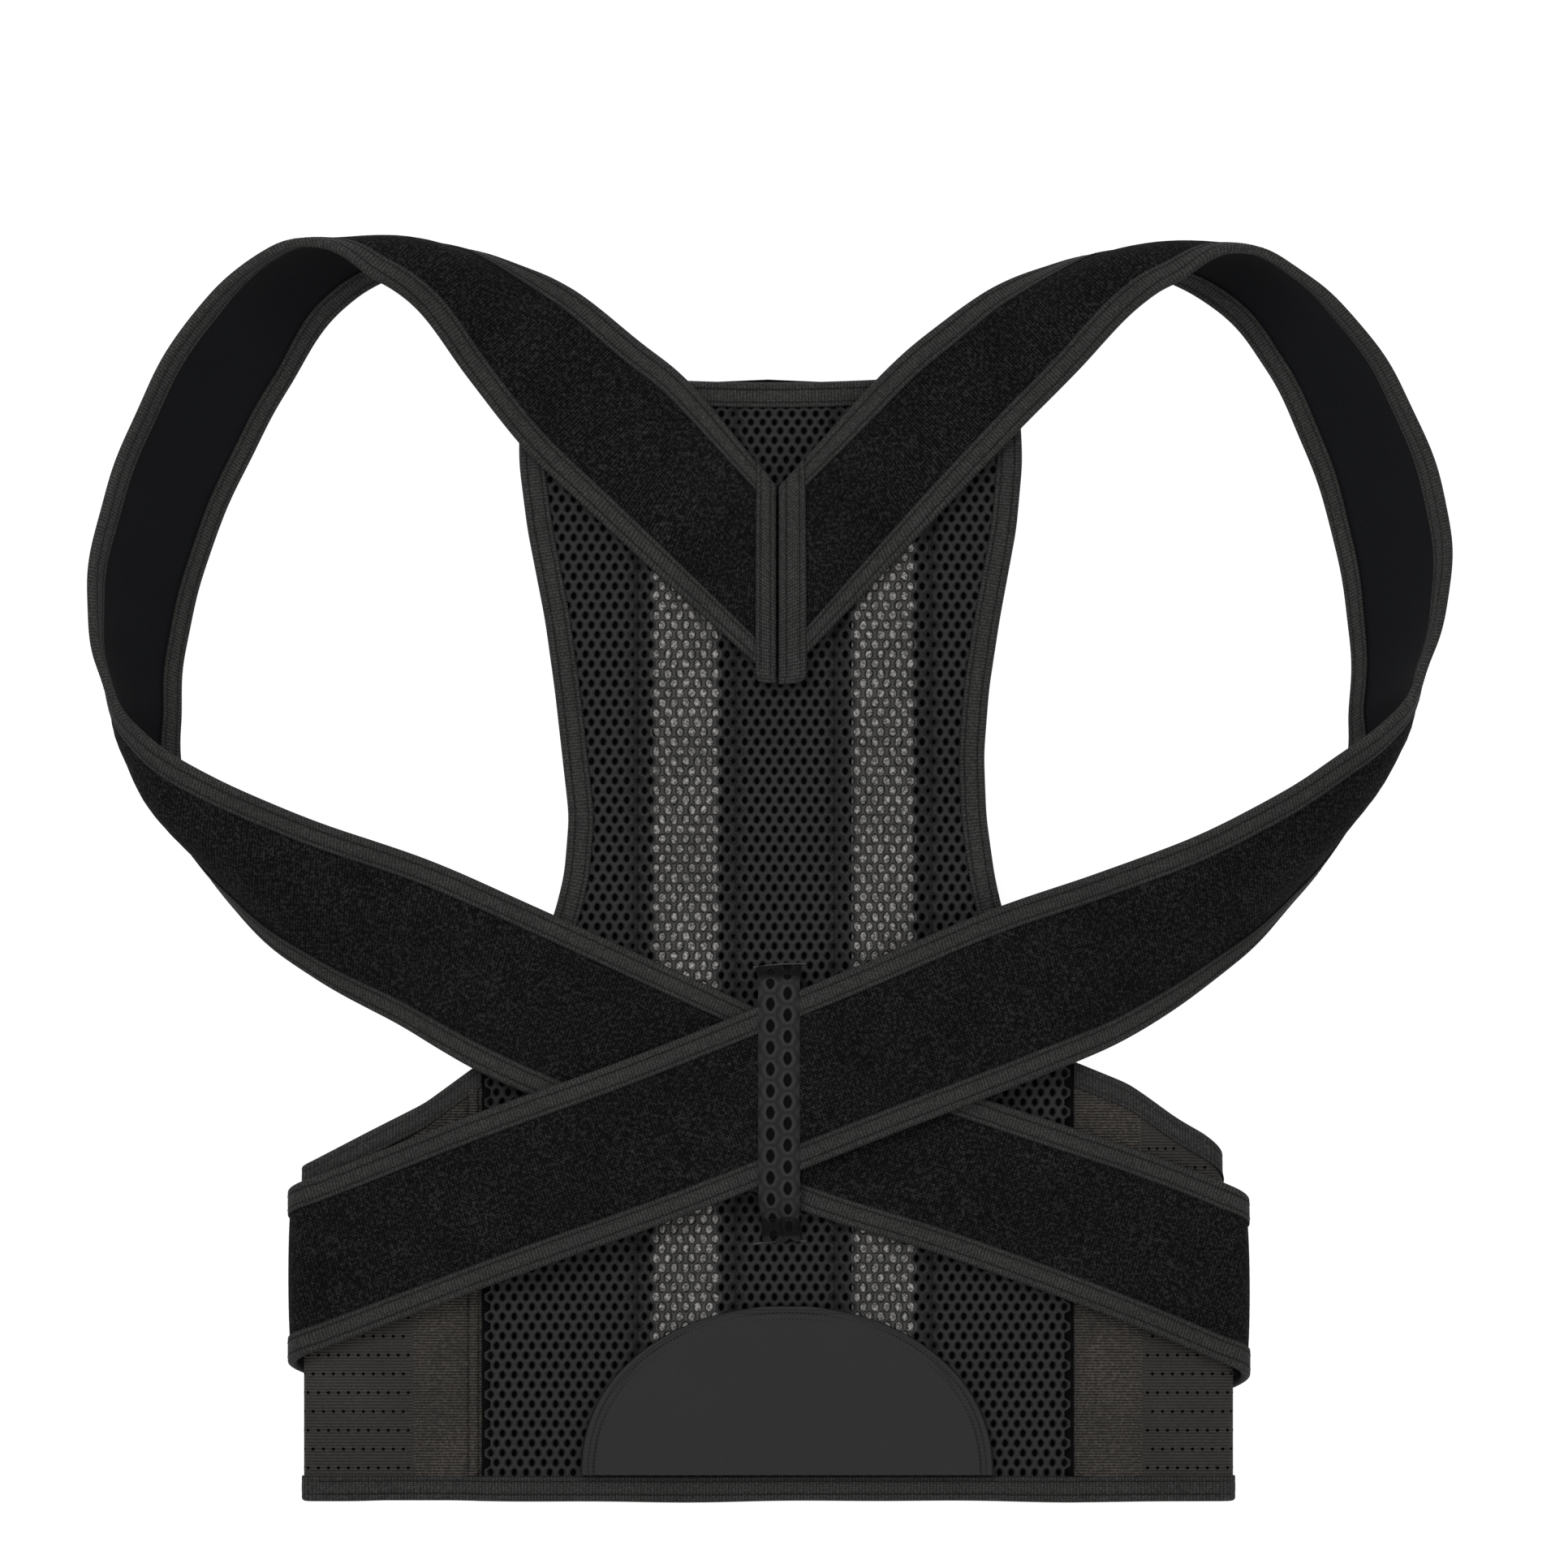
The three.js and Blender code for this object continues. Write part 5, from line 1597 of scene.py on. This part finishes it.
    def beads(self, centres: np.ndarray) -> bpy.types.Object:
        """The light woven bead that shows in every pore over a stay.

        Args:
            centres: The pores' centres.

        Returns:
            The beads as one piece.
        """
        turns = circle()
        points = [(radius * math.cos(a), self.bead_length * radius * math.sin(a), height)
                  for radius, height, _ in self.bead_rings for a in turns]
        last = (len(self.bead_rings) - 1) * len(turns)
        faces = [*ring_faces(len(self.bead_rings), len(turns)), tuple(range(last, last + len(turns)))]
        bead = new_object("bead", points, faces=faces)
        # Painted shade round each bead's rim.
        mark(bead.data, "pit", [pit for _, _, pit in self.bead_rings for _ in turns])
        random = np.random.default_rng(7)
        stretch = 1 + 0.15 * random.uniform(-1, 1, (len(centres), 3))
        turn = spread(0.0, 0.0, random.uniform(-0.4, 0.4, len(centres)))
        places = spread(*(centres + random.uniform(-0.2, 0.2, centres.shape)).T, -self.bead_drop)
        beads = scattered("stay_beads", self.tiles, bead, places, STAY_BEAD, stretch, turn, join=0.0)
        moved(beads, self.drape, self.lay)
        return link(beads)

    def binding(self) -> tuple[bpy.types.Object, list[bpy.types.Object]]:
        """The tape round the top and sides, and its stitches with those of the stays' seams.

        Returns:
            The tape, and its stitches.
        """
        lay = self.lay
        start = lay.length * lay.side_top + lay.clearance
        line = self.smooth
        keep = line[:, 1] > start
        first, last = int(np.argmax(keep)), len(keep) - int(np.argmax(keep[::-1]))
        line = resampled(line[first:last], 3.0)
        along = np.gradient(line, axis=0)
        along /= np.linalg.norm(along, axis=1, keepdims=True)
        inward = np.stack([along[:, 1], -along[:, 0]], -1)
        s, h = rounded_tape(lay.tape_width, 0.0, lay.mesh_top, lay)
        plan = line[:, None, :] + inward[:, None, :] * s[None, :, None]
        points = np.concatenate([plan, (lay.panel_level(plan[..., 1]) + h[None, :])[..., None]], -1)
        tape = tape_cloth("tape_panel", points, outline_run(s, h), run_length(line), lay)
        sewing = Sewing(lay, self.stitches, "stitches_panel")
        for place in TAPE_SEAMS:
            seam = line + inward * place * lay.tape_width
            top = lay.panel_level(seam[:, 1]) + lay.mesh_top + lay.inset - SEAM_DROP
            sewing.add(np.column_stack([seam, top]), UP)
        y = np.arange(lay.stay_bottom - 20, lay.stay_top, 3.0)
        for side in (-1, 1):
            for edge in (-1, 1):
                x = lay.stay_middle + side * lay.stay_spacing / 2
                x += edge * (lay.stay_width / 2 + self.seam_offset)
                sewing.add(self.drape(spread(x, y, 0.1)), UP)
        return tape, [sewing.build()]


@dataclass
class LumbarPatch:
    """The smooth D-shaped patch low on the panel, with two rows of stitches inside its rim."""

    lay: Lay
    stitches: GeometryTree
    half: float = 89.0
    height: float = 73.0
    offset: float = 8.0
    thickness: float = 1.2
    rows: int = 90
    columns: int = 81
    squareness: float = 2.2
    welt_place: float = 2.4
    welt_width: float = 1.1
    welt_height: float = 0.22
    groove_width: float = 0.5
    groove_depth: float = 0.15
    crown_height: float = 0.55
    crown_reach: float = 26.0
    seams: tuple[float, ...] = (3.0, 5.6)

    @property
    def bottom(self) -> float:
        """Height of the patch's straight edge along the panel."""
        return self.lay.tape_width + 2 * self.lay.clearance

    def rim(self, inset: float, count: int = 120) -> np.ndarray:
        """The patch's outline set in by a distance, from its lower left corner to its lower right.

        Args:
            inset: The distance.
            count: Number of points.

        Returns:
            The points in plan.
        """
        angle = np.linspace(0, math.pi, count)
        rise = np.sin(angle) ** (2 / self.squareness)
        height = self.height - inset
        return spread(self.offset - np.cos(angle) * (self.half - inset), self.bottom + rise * height)

    def build(self) -> list[bpy.types.Object]:
        """Builds and dresses the patch.

        Returns:
            Its pieces.
        """
        lay = self.lay
        rise = np.sin(np.radians(np.linspace(0, 88.5, self.rows)))
        half = self.half * np.sqrt(1 - rise**self.squareness)
        share = np.sin(np.linspace(-math.pi / 2, math.pi / 2, self.columns))
        x = self.offset + half[:, None] * share
        y = (self.bottom + self.height * rise)[:, None]
        beside = (1 - np.abs(share))[None, :] * half[:, None]
        distance = np.minimum(beside, ((1 - rise) * self.height * 1.6)[:, None])
        base = lay.belt_level + lay.panel_stack
        welt = bell(distance - self.welt_place, self.welt_width) * self.welt_height
        groove = sum(bell(distance - row, self.groove_width) for row in self.seams) * self.groove_depth
        crown = self.crown_height * ease(distance / self.crown_reach)
        rounded = self.thickness * np.sqrt(np.clip(1 - (1 - np.clip(distance / 1.2, 0, 1)) ** 2, 0, 1))
        top = spread(x, y, base + rounded + (welt - groove + crown) * ease(distance / 1.5))
        low = spread(x, y, base)[:, ::-1]
        weave = spread(both_faces(x), y)
        # Painted shade in the two seams' grooves and along the patch's stepped rim; the unseen underside is
        # painted black.
        seams = sum(bell(distance - row, 0.45) for row in self.seams)
        dark = np.clip(0.6 * seams + 0.8 * (distance < 0.9), 0, 1)
        pits = np.concatenate([dark, np.ones_like(dark)], 1)
        patch = Cloth("patch_cloth", np.concatenate([top, low], 1), weave, [PATCH], pit=pits,
                      crease=80).build(lay)
        sewing = Sewing(lay, self.stitches, "stitches_patch")
        for inset in self.seams:
            sewing.add(spread(*self.rim(inset).T, base + self.thickness + 0.03), UP)
        sewn = sewing.build(pitch=1.7, length=1.25, thread=0.7, slant=0.25)
        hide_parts("lumbar_patch")
        return [patch, sewn]


@dataclass
class Keeper:
    """The mesh loop over the crossing of the straps, creased down its middle and tacked at both ends."""

    lay: Lay
    tiles: GeometryTree
    stitches: GeometryTree
    width: float = 18.0
    length: float = 119.0
    offset: float = 4.5
    top: float = 0.475
    ramp: float = 6.0
    foot: float = 15.0
    pitch: float = 8.6
    spacing: float = 7.4
    pore: tuple[float, float] = (5.6, 3.7)
    arch: float = 1.6
    crease: float = 0.6
    roll_from: float = 0.72
    pinch: float = 0.12
    pinch_place: float = 0.93
    drift: float = 1.2

    def path(self, run: np.ndarray) -> tuple[np.ndarray, np.ndarray]:
        """The line of the keeper's underside.

        Args:
            run: Distances from its top end.

        Returns:
            Heights along the panel, and levels.
        """
        lay = self.lay
        high = lay.panel_stack + 2 * lay.strap_floor + lay.strap_step
        low = lay.mesh_top + lay.clearance
        runs = [0, 2, self.ramp, self.ramp + 4, self.length - self.foot - 4, self.length - self.foot,
                self.length - 2, self.length]
        levels = [low, low, high - 1, high, high, high - 1, low, low]
        y = self.top * lay.length - run
        return y, lay.panel_level(y) + np.interp(run, runs, levels)

    def surface(self, points: np.ndarray) -> np.ndarray:
        """Carries flat points onto the keeper.

        Args:
            points: Points with x across and y from the top end down.

        Returns:
            The points on the keeper.
        """
        x, run, z = points.T
        dense = np.linspace(-4, self.length + 4, 500)
        y, level = self.path(np.clip(dense, 0, self.length))
        line = smoothed(np.column_stack([y, level]), 0.5, 3.0)
        travelled = np.linspace(0, self.length, len(line))
        y, level = np.interp(run, travelled, line[:, 0]), np.interp(run, travelled, line[:, 1])
        share = np.abs(x) / (self.width / 2)
        crease = self.crease * bell(x, 1.0)
        side = 1.5 * np.clip(share - self.roll_from, 0, 1) ** 2 / 0.08
        pinch = 1 - self.pinch * bell(run - self.length * self.pinch_place, 9)
        drift = self.drift * bell(run - self.length, 14)
        return spread(self.offset + drift + x * pinch, y, level + self.arch - crease - side + z)

    def tacked(self, points: np.ndarray) -> np.ndarray:
        """The shade painted on the net at its sewn ends, where it dips to the panel, and down the crease in
        its middle.

        Args:
            points: Flat points of the net, made with its rows along x.

        Returns:
            A share for each point.
        """
        run, across = points[:, 0], np.abs(points[:, 1])
        top, bottom = ease((12.5 - run) / 6), ease((run - self.length + 13) / 5)
        return np.clip(0.85 * np.maximum(top, bottom) + 0.45 * ease((0.9 - across) / 0.8), 0, 0.9)

    def netted(self, points: np.ndarray) -> np.ndarray:
        """Lays the net on the keeper and tucks it in at the sides and ends.

        Args:
            points: Flat points of the net, made with its rows along x.

        Returns:
            The points on the keeper.
        """
        half = self.width / 2 + 0.15
        x, run = np.clip(points[:, 1], -half, half), np.clip(points[:, 0], 0, self.length)
        tucked = np.where(np.abs(points[:, 1]) > half, -0.6, 0.0)
        return self.surface(spread(x, run, points[:, 2] + tucked))

    def build(self) -> list[bpy.types.Object]:
        """Builds and dresses the keeper.

        Returns:
            Its pieces.
        """
        lay = self.lay
        run = np.linspace(0, self.length, 120)
        x, down = np.meshgrid(np.linspace(-1, 1, 21) * self.width / 2, run)
        flat = spread(x, down, -1.1)
        top = self.surface(flat.reshape(-1, 3)).reshape(flat.shape)
        low = top.copy()[:, ::-1]
        low[..., 2] = np.minimum(low[..., 2] - 0.1, self.path(run)[1][:, None] + 0.05)
        weave = spread(both_faces(x), run[:, None])
        body = Cloth("keeper_base", np.concatenate([top, low], 1), weave, [DARK_BASE], crease=60).build(lay)
        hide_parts("keeper")
        # Keeper cells carry painted shade along their low edges between the pores and round each pore.
        cell = Tile("keeper_cell", self.pitch, self.spacing, self.pore, depth=1.1, detail=4, point=1.25,
                    steps=((0.0, -0.4, 0.8), (0.35, -0.2, 0.5), (0.75, 0.0, 0.0), (1.0, -0.45, 0.6))).build()
        x, y = lattice(self.pitch, self.spacing, (0, self.length, -1.5 * self.spacing, 1.5 * self.spacing)).T
        y = y + self.spacing / 2
        keep = (np.abs(y) < 1.6 * self.spacing) & (x > -3) & (x < self.length + 3)
        net = scattered("keeper_mesh", self.tiles, cell, spread(x[keep], y[keep], 0.0), KEEPER_YARN)
        # Painted shade at the keeper's ends and down its crease.
        moved(net, self.netted, lay, self.tacked)
        link(net)
        sewing = Sewing(lay, self.stitches, "stitches_keeper", THREAD)
        for first, last in ((0.5, 7.0), (self.length - 11.0, self.length - 2.0)):
            for place in np.arange(first, last, 0.9):
                x = np.linspace(-self.width / 2 - 0.3, self.width / 2 + 0.3, 24)
                sewing.add(self.surface(spread(x, place, 0.15)), UP)
        sewn = sewing.build(pitch=1.0, length=1.7, thread=0.55, slant=0.9)
        bars = Sewing(lay, self.stitches, "bars_keeper", GREY_THREAD)
        for place, slope in ((0.0, -1.2), (self.length + 0.3, -1.0)):
            x = np.linspace(-self.width / 2 - 1.6, self.width / 2 + 2.2, 30)
            arch = 0.5 * np.sin(math.pi * np.linspace(0, 1, len(x)))
            y = self.top * lay.length - place - slope * x / 18 + arch
            bars.add(spread(self.offset + x, y, lay.panel_level(y) + lay.mesh_top + 0.35), UP)
        return [body, net, sewn, bars.build(pitch=0.9, length=1.5, thread=0.75, slant=0.5)]


@dataclass
class BeltSide:
    """One side of the belt: ribbed strip, perforated elastic that folds round behind, and tape."""

    lay: Lay
    side: Side
    tiles: GeometryTree
    stitches: GeometryTree
    row_pitch: float = 8.1
    hole_pitch: float = 4.3
    hole: float = 0.72
    first_row: float = 14.5
    last_row: float = 160.0
    rib_half: float = 2.2
    rib_rise: float = 1.5
    groove: float = 0.8
    groove_place: float = 5.2
    pull: float = 0.0

    @property
    def table(self) -> np.ndarray:
        """The upper edge of this side."""
        return BELT_TOP_LEFT if self.side is Side.LEFT else BELT_TOP_RIGHT

    @property
    def inner(self) -> float:
        """Distance of the panel's mesh edge from the centre line."""
        return self.lay.mesh_sides[0 if self.side is Side.LEFT else 1]

    def top(self, x: np.ndarray) -> np.ndarray:
        """The upper edge at a distance from the centre line, along the cloth."""
        return np.interp(x / self.lay.half, self.table[:, 0], self.table[:, 1]) * self.lay.length

    def folded(self, points: np.ndarray) -> np.ndarray:
        """Carries points round the fold, and in towards the middle where the strap draws the top in.

        Args:
            points: Points of the side laid out flat.

        Returns:
            The points after the fold.
        """
        out = self.lay.belt_fold(self.side).carry(points)
        high = ease((out[..., 1] / self.lay.length - 0.255) / 0.04)
        out[..., 0] -= self.side.value * self.pull * high * ease((np.abs(out[..., 0]) - 150) / 45)
        return out

    def places(self, start: float, end: float, step: float) -> np.ndarray:
        """Distances along the cloth, closer round the fold.

        Args:
            start: The first.
            end: The last.
            step: About how far apart they are away from the fold.

        Returns:
            The distances.
        """
        plain = np.linspace(start, end, max(2, round((end - start) / step)))
        turning = self.lay.belt_fold(self.side).turning
        turning = turning[(turning > start) & (turning < end)]
        return np.unique(np.concatenate([plain, turning]))

    def layer(self, name: str, start: float, end: float, step: float, finish: Finish,
              swell: Callable[[np.ndarray], np.ndarray] | None = None) -> bpy.types.Object:
        """A layer of the side from one distance to another, carried round the fold.

        Args:
            name: The piece's name.
            start: Where it begins.
            end: Where it ends.
            step: Distance between its rings.
            finish: What it is made of.
            swell: Height added to the outer face at a place across, or None.

        Returns:
            The layer.
        """
        lay = self.lay
        run = self.places(start, end, step)
        top = self.top(run) - 1.6 * lay.inset
        share = np.linspace(0, 1, 61)
        y = lay.inset + (top - lay.inset)[:, None] * share
        x = run[:, None]
        level = lay.side_level(x, y)
        raised = 0 if swell is None else swell(x)
        outer = spread(self.side.value * x, y, level + lay.elastic + raised)
        inner = spread(self.side.value * x, y, level)[:, ::-1]
        points = self.folded(np.concatenate([outer, inner], 1))
        return Cloth(name, points, spread(x, both_faces(y)), [finish]).build(lay)

    def build(self) -> list[bpy.types.Object]:
        """Builds and dresses the side.

        Returns:
            Its pieces.
        """
        lay, label = self.lay, self.side.label
        seam, end = self.inner + lay.ribbed_width, lay.wing_end(self.side)
        strip = self.layer(f"ribbed_{label}", self.inner, seam, 1.0, RIBBED, self.strip_swell)
        elastic = self.layer(f"elastic_cloth_{label}", seam - 0.8, end, 6.0, ELASTIC)
        tape = self.binding(end)
        pits = self.pits(seam, end)
        sewing = Sewing(lay, self.stitches, f"stitches_belt_{label}", PALE_THREAD)
        for x in ((seam - 1.0,) if self.side is Side.LEFT else (self.inner + 1.6, seam - 1.0)):
            y = np.arange(lay.tape_width, float(self.top(np.array(x))) - lay.tape_width, 2.0)
            level = lay.side_level(np.full(len(y), x), y) + lay.elastic + 0.12
            sewing.add(spread(self.side.value * x, y, level), UP)
        sewn = sewing.build(pitch=1.22, length=0.9, thread=0.3, slant=1.2)
        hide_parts(f"ribbed_strip_{label}")
        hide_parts(f"elastic_{label}")
        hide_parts(f"belt_binding_{label}")
        height = float(np.mean(self.top(np.linspace(seam, end, 40)))) - 2 * lay.inset
        # The straps cross, so under each side lies the other side's strap; the left wing closes over
        # the right.
        float(self.top(np.array(self.inner + 15.0))) / 1000
        made = [strip, elastic, tape, pits, sewn]
        if self.side is Side.LEFT:
            made.append(self.channel())
        return made

    def strip_swell(self, x: np.ndarray) -> np.ndarray:
        """The soft roundness of the ribbed strip across its width.

        Args:
            x: Distances from the centre line.

        Returns:
            Heights over the flat strip.
        """
        share = np.clip((x - self.inner) / self.lay.ribbed_width, 0, 1)
        groove = 0.0
        if self.side is Side.LEFT:
            groove = self.groove * bell(x - self.inner - self.groove_place, 1.0)
        return 0.7 * np.sin(math.pi * share) ** 0.5 - groove

    def channel(self) -> bpy.types.Object:
        """The raised rib between the left ribbed strip and the mesh.

        Returns:
            The rib.
        """
        lay = self.lay
        start = self.inner + lay.inset + lay.clearance
        low, high = lay.tape_width + lay.clearance, float(self.top(np.array(start))) - lay.tape_width
        y = np.linspace(low, high, 90)
        angle = np.linspace(0, math.pi, 11)
        x = start + self.rib_half + self.rib_half * np.cos(angle)
        z = lay.elastic + lay.clearance + self.rib_rise * np.sin(angle)
        x, z = np.concatenate([x, x[::-1]]), np.concatenate([z, np.full(len(angle), lay.elastic + 0.2)])
        grid_x, grid_y = np.meshgrid(x, y)
        points = spread(-grid_x, grid_y, lay.side_level(grid_x, grid_y) + z[None, :])
        weave = spread(np.concatenate([grid_x, grid_x[:, :1]], 1), y[:, None])
        rib = Cloth("channel_left", points, weave, [RIBBED]).build(lay)
        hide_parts("boning_channel_left")
        return rib

    def binding(self, end: float) -> bpy.types.Object:
        """The tape along the upper edge, round the fold and along the wing.

        Args:
            end: Where the wing ends, along the cloth.

        Returns:
            The tape.
        """
        lay = self.lay
        run = self.places(self.inner + 0.2, end, 3.0)
        top = smoothed(np.column_stack([run, self.top(run)]), 0.5, 6.0)
        edge = np.interp(run, top[:, 0], top[:, 1])
        s, h = rounded_tape(lay.tape_width, 0.0, lay.elastic, lay)
        x, y = run[:, None], edge[:, None] - s[None, :]
        points = self.folded(spread(self.side.value * x, y, lay.side_level(x, y) + h[None, :]))
        return tape_cloth(f"tape_belt_{self.side.label}", points, outline_run(s, h), run, lay)

    def pits(self, seam: float, end: float) -> bpy.types.Object:
        """The rows of small holes knitted into the elastic, each a flat disc painted near black as the shade
        inside the hole.

        Args:
            seam: Where the elastic begins.
            end: Where it ends.

        Returns:
            The holes as one piece.
        """
        lay, turns = self.lay, circle()
        # Each hole is a flat disc painted with shade, with no opening cut.
        hole = new_object("hole", [(self.hole * math.cos(a), self.hole * math.sin(a), 0.0) for a in turns],
                          faces=[tuple(range(len(turns)))])
        places = []
        for number, y in enumerate(np.arange(self.first_row, self.last_row, self.row_pitch)):
            x = np.arange(seam + 2.2 + (number % 2) * self.hole_pitch / 2, end - 4, self.hole_pitch)
            x = x[y < self.top(x) - lay.tape_width - 1.5]
            places.append(spread(x, y, 0.0))
        pits = scattered(f"holes_{self.side.label}", self.tiles, hole, np.concatenate(places), HOLE_SHADE)

        def carried(points: np.ndarray) -> np.ndarray:
            """Lays the holes on the elastic's outer face."""
            x, y, _ = points.T
            return self.folded(spread(self.side.value * x, y, lay.side_level(x, y) + lay.elastic + 0.05))

        moved(pits, carried, lay)
        return link(pits)


@dataclass
class Hem:
    """The tape along the bottom, over the panel in the middle and round both folds behind."""

    lay: Lay
    stitches: GeometryTree
    step: float = 4.0
    waves: tuple[tuple[float, float, float], ...] = ((0.35, 31.0, 0.0), (0.2, 12.7, 1.0))
    wave_reach: float = 6.0
    shown: float = 194.0

    def build(self) -> list[bpy.types.Object]:
        """Builds and dresses the hem.

        Returns:
            Its pieces.
        """
        lay = self.lay
        left, right = lay.wing_end(Side.LEFT), lay.wing_end(Side.RIGHT)
        plain = np.arange(-left, right, 3.0)
        turns = [side.value * lay.belt_fold(side).turning for side in Side]
        x = np.unique(np.concatenate([[-left, right], plain, *turns]))
        edges = lay.mesh_sides
        share = np.where(x < 0, (np.abs(x) - edges[0]) / self.step, (np.abs(x) - edges[1]) / self.step)
        high = lay.mesh_top + (lay.elastic - lay.mesh_top) * ease(share)
        outlines = [rounded_tape(lay.tape_width, 0.0, value, lay) for value in high]
        s = outlines[0][0]
        wavy = sum(rise * np.sin(x / length + start) for rise, length, start in self.waves)
        wavy *= np.clip((190 - np.abs(x)) / 20, 0, 1)
        rises = np.stack([h for _, h in outlines])
        across = s[None, :] + wavy[:, None] * np.exp(-s / self.wave_reach)[None, :]
        points = spread(x[:, None], across, lay.belt_level + rises)
        left_side, right_side = (lay.belt_fold(side).carry(points) for side in Side)
        points = np.where(x[:, None, None] < 0, left_side, right_side)
        tape = tape_cloth("tape_hem", points, outline_run(s, rises[0]), x, lay)
        sewing = Sewing(lay, self.stitches, "stitches_hem")
        for place in TAPE_SEAMS:
            across = place * lay.tape_width + wavy * np.exp(-place * lay.tape_width / self.wave_reach)
            line = spread(x, across, lay.belt_level + high + lay.inset - SEAM_DROP)
            sewing.add(line[np.abs(x) < self.shown], UP)
        sewn = sewing.build()
        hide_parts("hem_binding")
        return [tape, sewn]


@dataclass
class Studio:
    """The pale surface, the light and the camera straight above."""

    lay: Lay
    field_width: float = 0.6762
    distance: float = 7.0
    aim: tuple[float, float] = (966.0, 966.0)
    scale: float = 0.35
    origin: tuple[float, float] = (947.0, 1850.0)
    glow: float = 0.95
    sky: float = 0.85
    floor_reach: float = 4.0
    floor_drop: float = 0.0004
    lamps: tuple[tuple[str, tuple[float, float, float], float, float], ...] = (
        ("key", (-0.7, 0.9, 1.3), 0.9, 16.0),
        ("fill", (0.9, -0.6, 1.5), 1.4, 8.0),
    )

    def build(self) -> None:
        """Sets up the stage."""
        self.floor()
        self.light()
        self.camera()

    def floor(self) -> None:
        """Lays the pale surface, which gives its own light."""
        far = self.floor_reach
        floor = new_object("pale_floor", [(-far, -far, 0), (far, -far, 0), (far, far, 0), (-far, far, 0)],
                           faces=[(0, 1, 2, 3)])
        floor.location.z = -self.floor_drop
        bpy.context.scene.collection.objects.link(floor)
        paint = bpy.data.materials.new("pale_surface")
        paint.use_nodes = True
        surface = paint.node_tree.nodes["Principled BSDF"]
        surface.inputs["Base Color"].default_value = grey(0.12)
        surface.inputs["Roughness"].default_value = 0.9
        surface.inputs["Specular IOR Level"].default_value = 0.1
        surface.inputs["Emission Color"].default_value = (1, 1, 1, 1)
        surface.inputs["Emission Strength"].default_value = self.glow
        floor.data.materials.append(paint)

    def light(self) -> None:
        """Sets the even sky and the two lamps."""
        scene = bpy.context.scene
        world = bpy.data.worlds.new("studio")
        world.use_nodes = True
        back = world.node_tree.nodes["Background"]
        back.inputs["Color"].default_value = (1, 1, 1, 1)
        back.inputs["Strength"].default_value = self.sky
        scene.world = world
        for name, place, size, power in self.lamps:
            data = bpy.data.lights.new(name, "AREA")
            data.energy, data.size = power, size
            lamp = bpy.data.objects.new(name, data)
            lamp.location = place
            lamp.rotation_mode = "QUATERNION"
            lamp.rotation_quaternion = Vector(-np.array(place)).to_track_quat("-Z", "Y")
            scene.collection.objects.link(lamp)

    def camera(self) -> None:
        """Sets the camera straight above the brace."""
        scene = bpy.context.scene
        lens = bpy.data.cameras.new("above")
        lens.sensor_width = 36.0
        lens.lens = lens.sensor_width * self.distance / self.field_width
        lens.clip_end = 60
        camera = bpy.data.objects.new("above", lens)
        x = ((self.aim[0] - self.origin[0]) * self.scale + self.lay.shift[0]) / 1000
        y = ((self.origin[1] - self.aim[1]) * self.scale + self.lay.shift[1]) / 1000
        camera.location = (x, y, self.distance + 0.02)
        scene.collection.objects.link(camera)
        scene.camera = camera
        scene.view_settings.view_transform = "Standard"
        scene.cycles.use_denoising = True


def main() -> None:
    """Builds the brace piece by piece over its solids and reports each piece."""
    logging.basicConfig(level=logging.INFO, format="%(name)s: %(message)s")
    lay = measured_lay()
    tiles, stitches = tile_tree(), stitch_tree()
    Studio(lay).build()
    parts = (
        BackPanel(lay, tiles, stitches),
        ShoulderStrap(lay, Side.LEFT, LEFT_STRAP, 0.1, 8.4, stitches),
        ShoulderStrap(lay, Side.RIGHT, RIGHT_STRAP, 0.12, 11.0, stitches),
        LumbarPatch(lay, stitches),
        Keeper(lay, tiles, stitches),
        BeltSide(lay, Side.LEFT, tiles, stitches),
        BeltSide(lay, Side.RIGHT, tiles, stitches, pull=5.5),
        Hem(lay, stitches),
    )
    for part in parts:
        pieces = part.build()
        LOG.info("%s: %s", type(part).__name__, ", ".join(piece.name for piece in pieces))
    for label in ("hook_tab_left", "hook_tab_right", "hook_patch"):
        for place in bpy.data.objects[label].material_slots:
            place.material = HOOK.material()


if __name__ == "__main__":
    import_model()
    main()
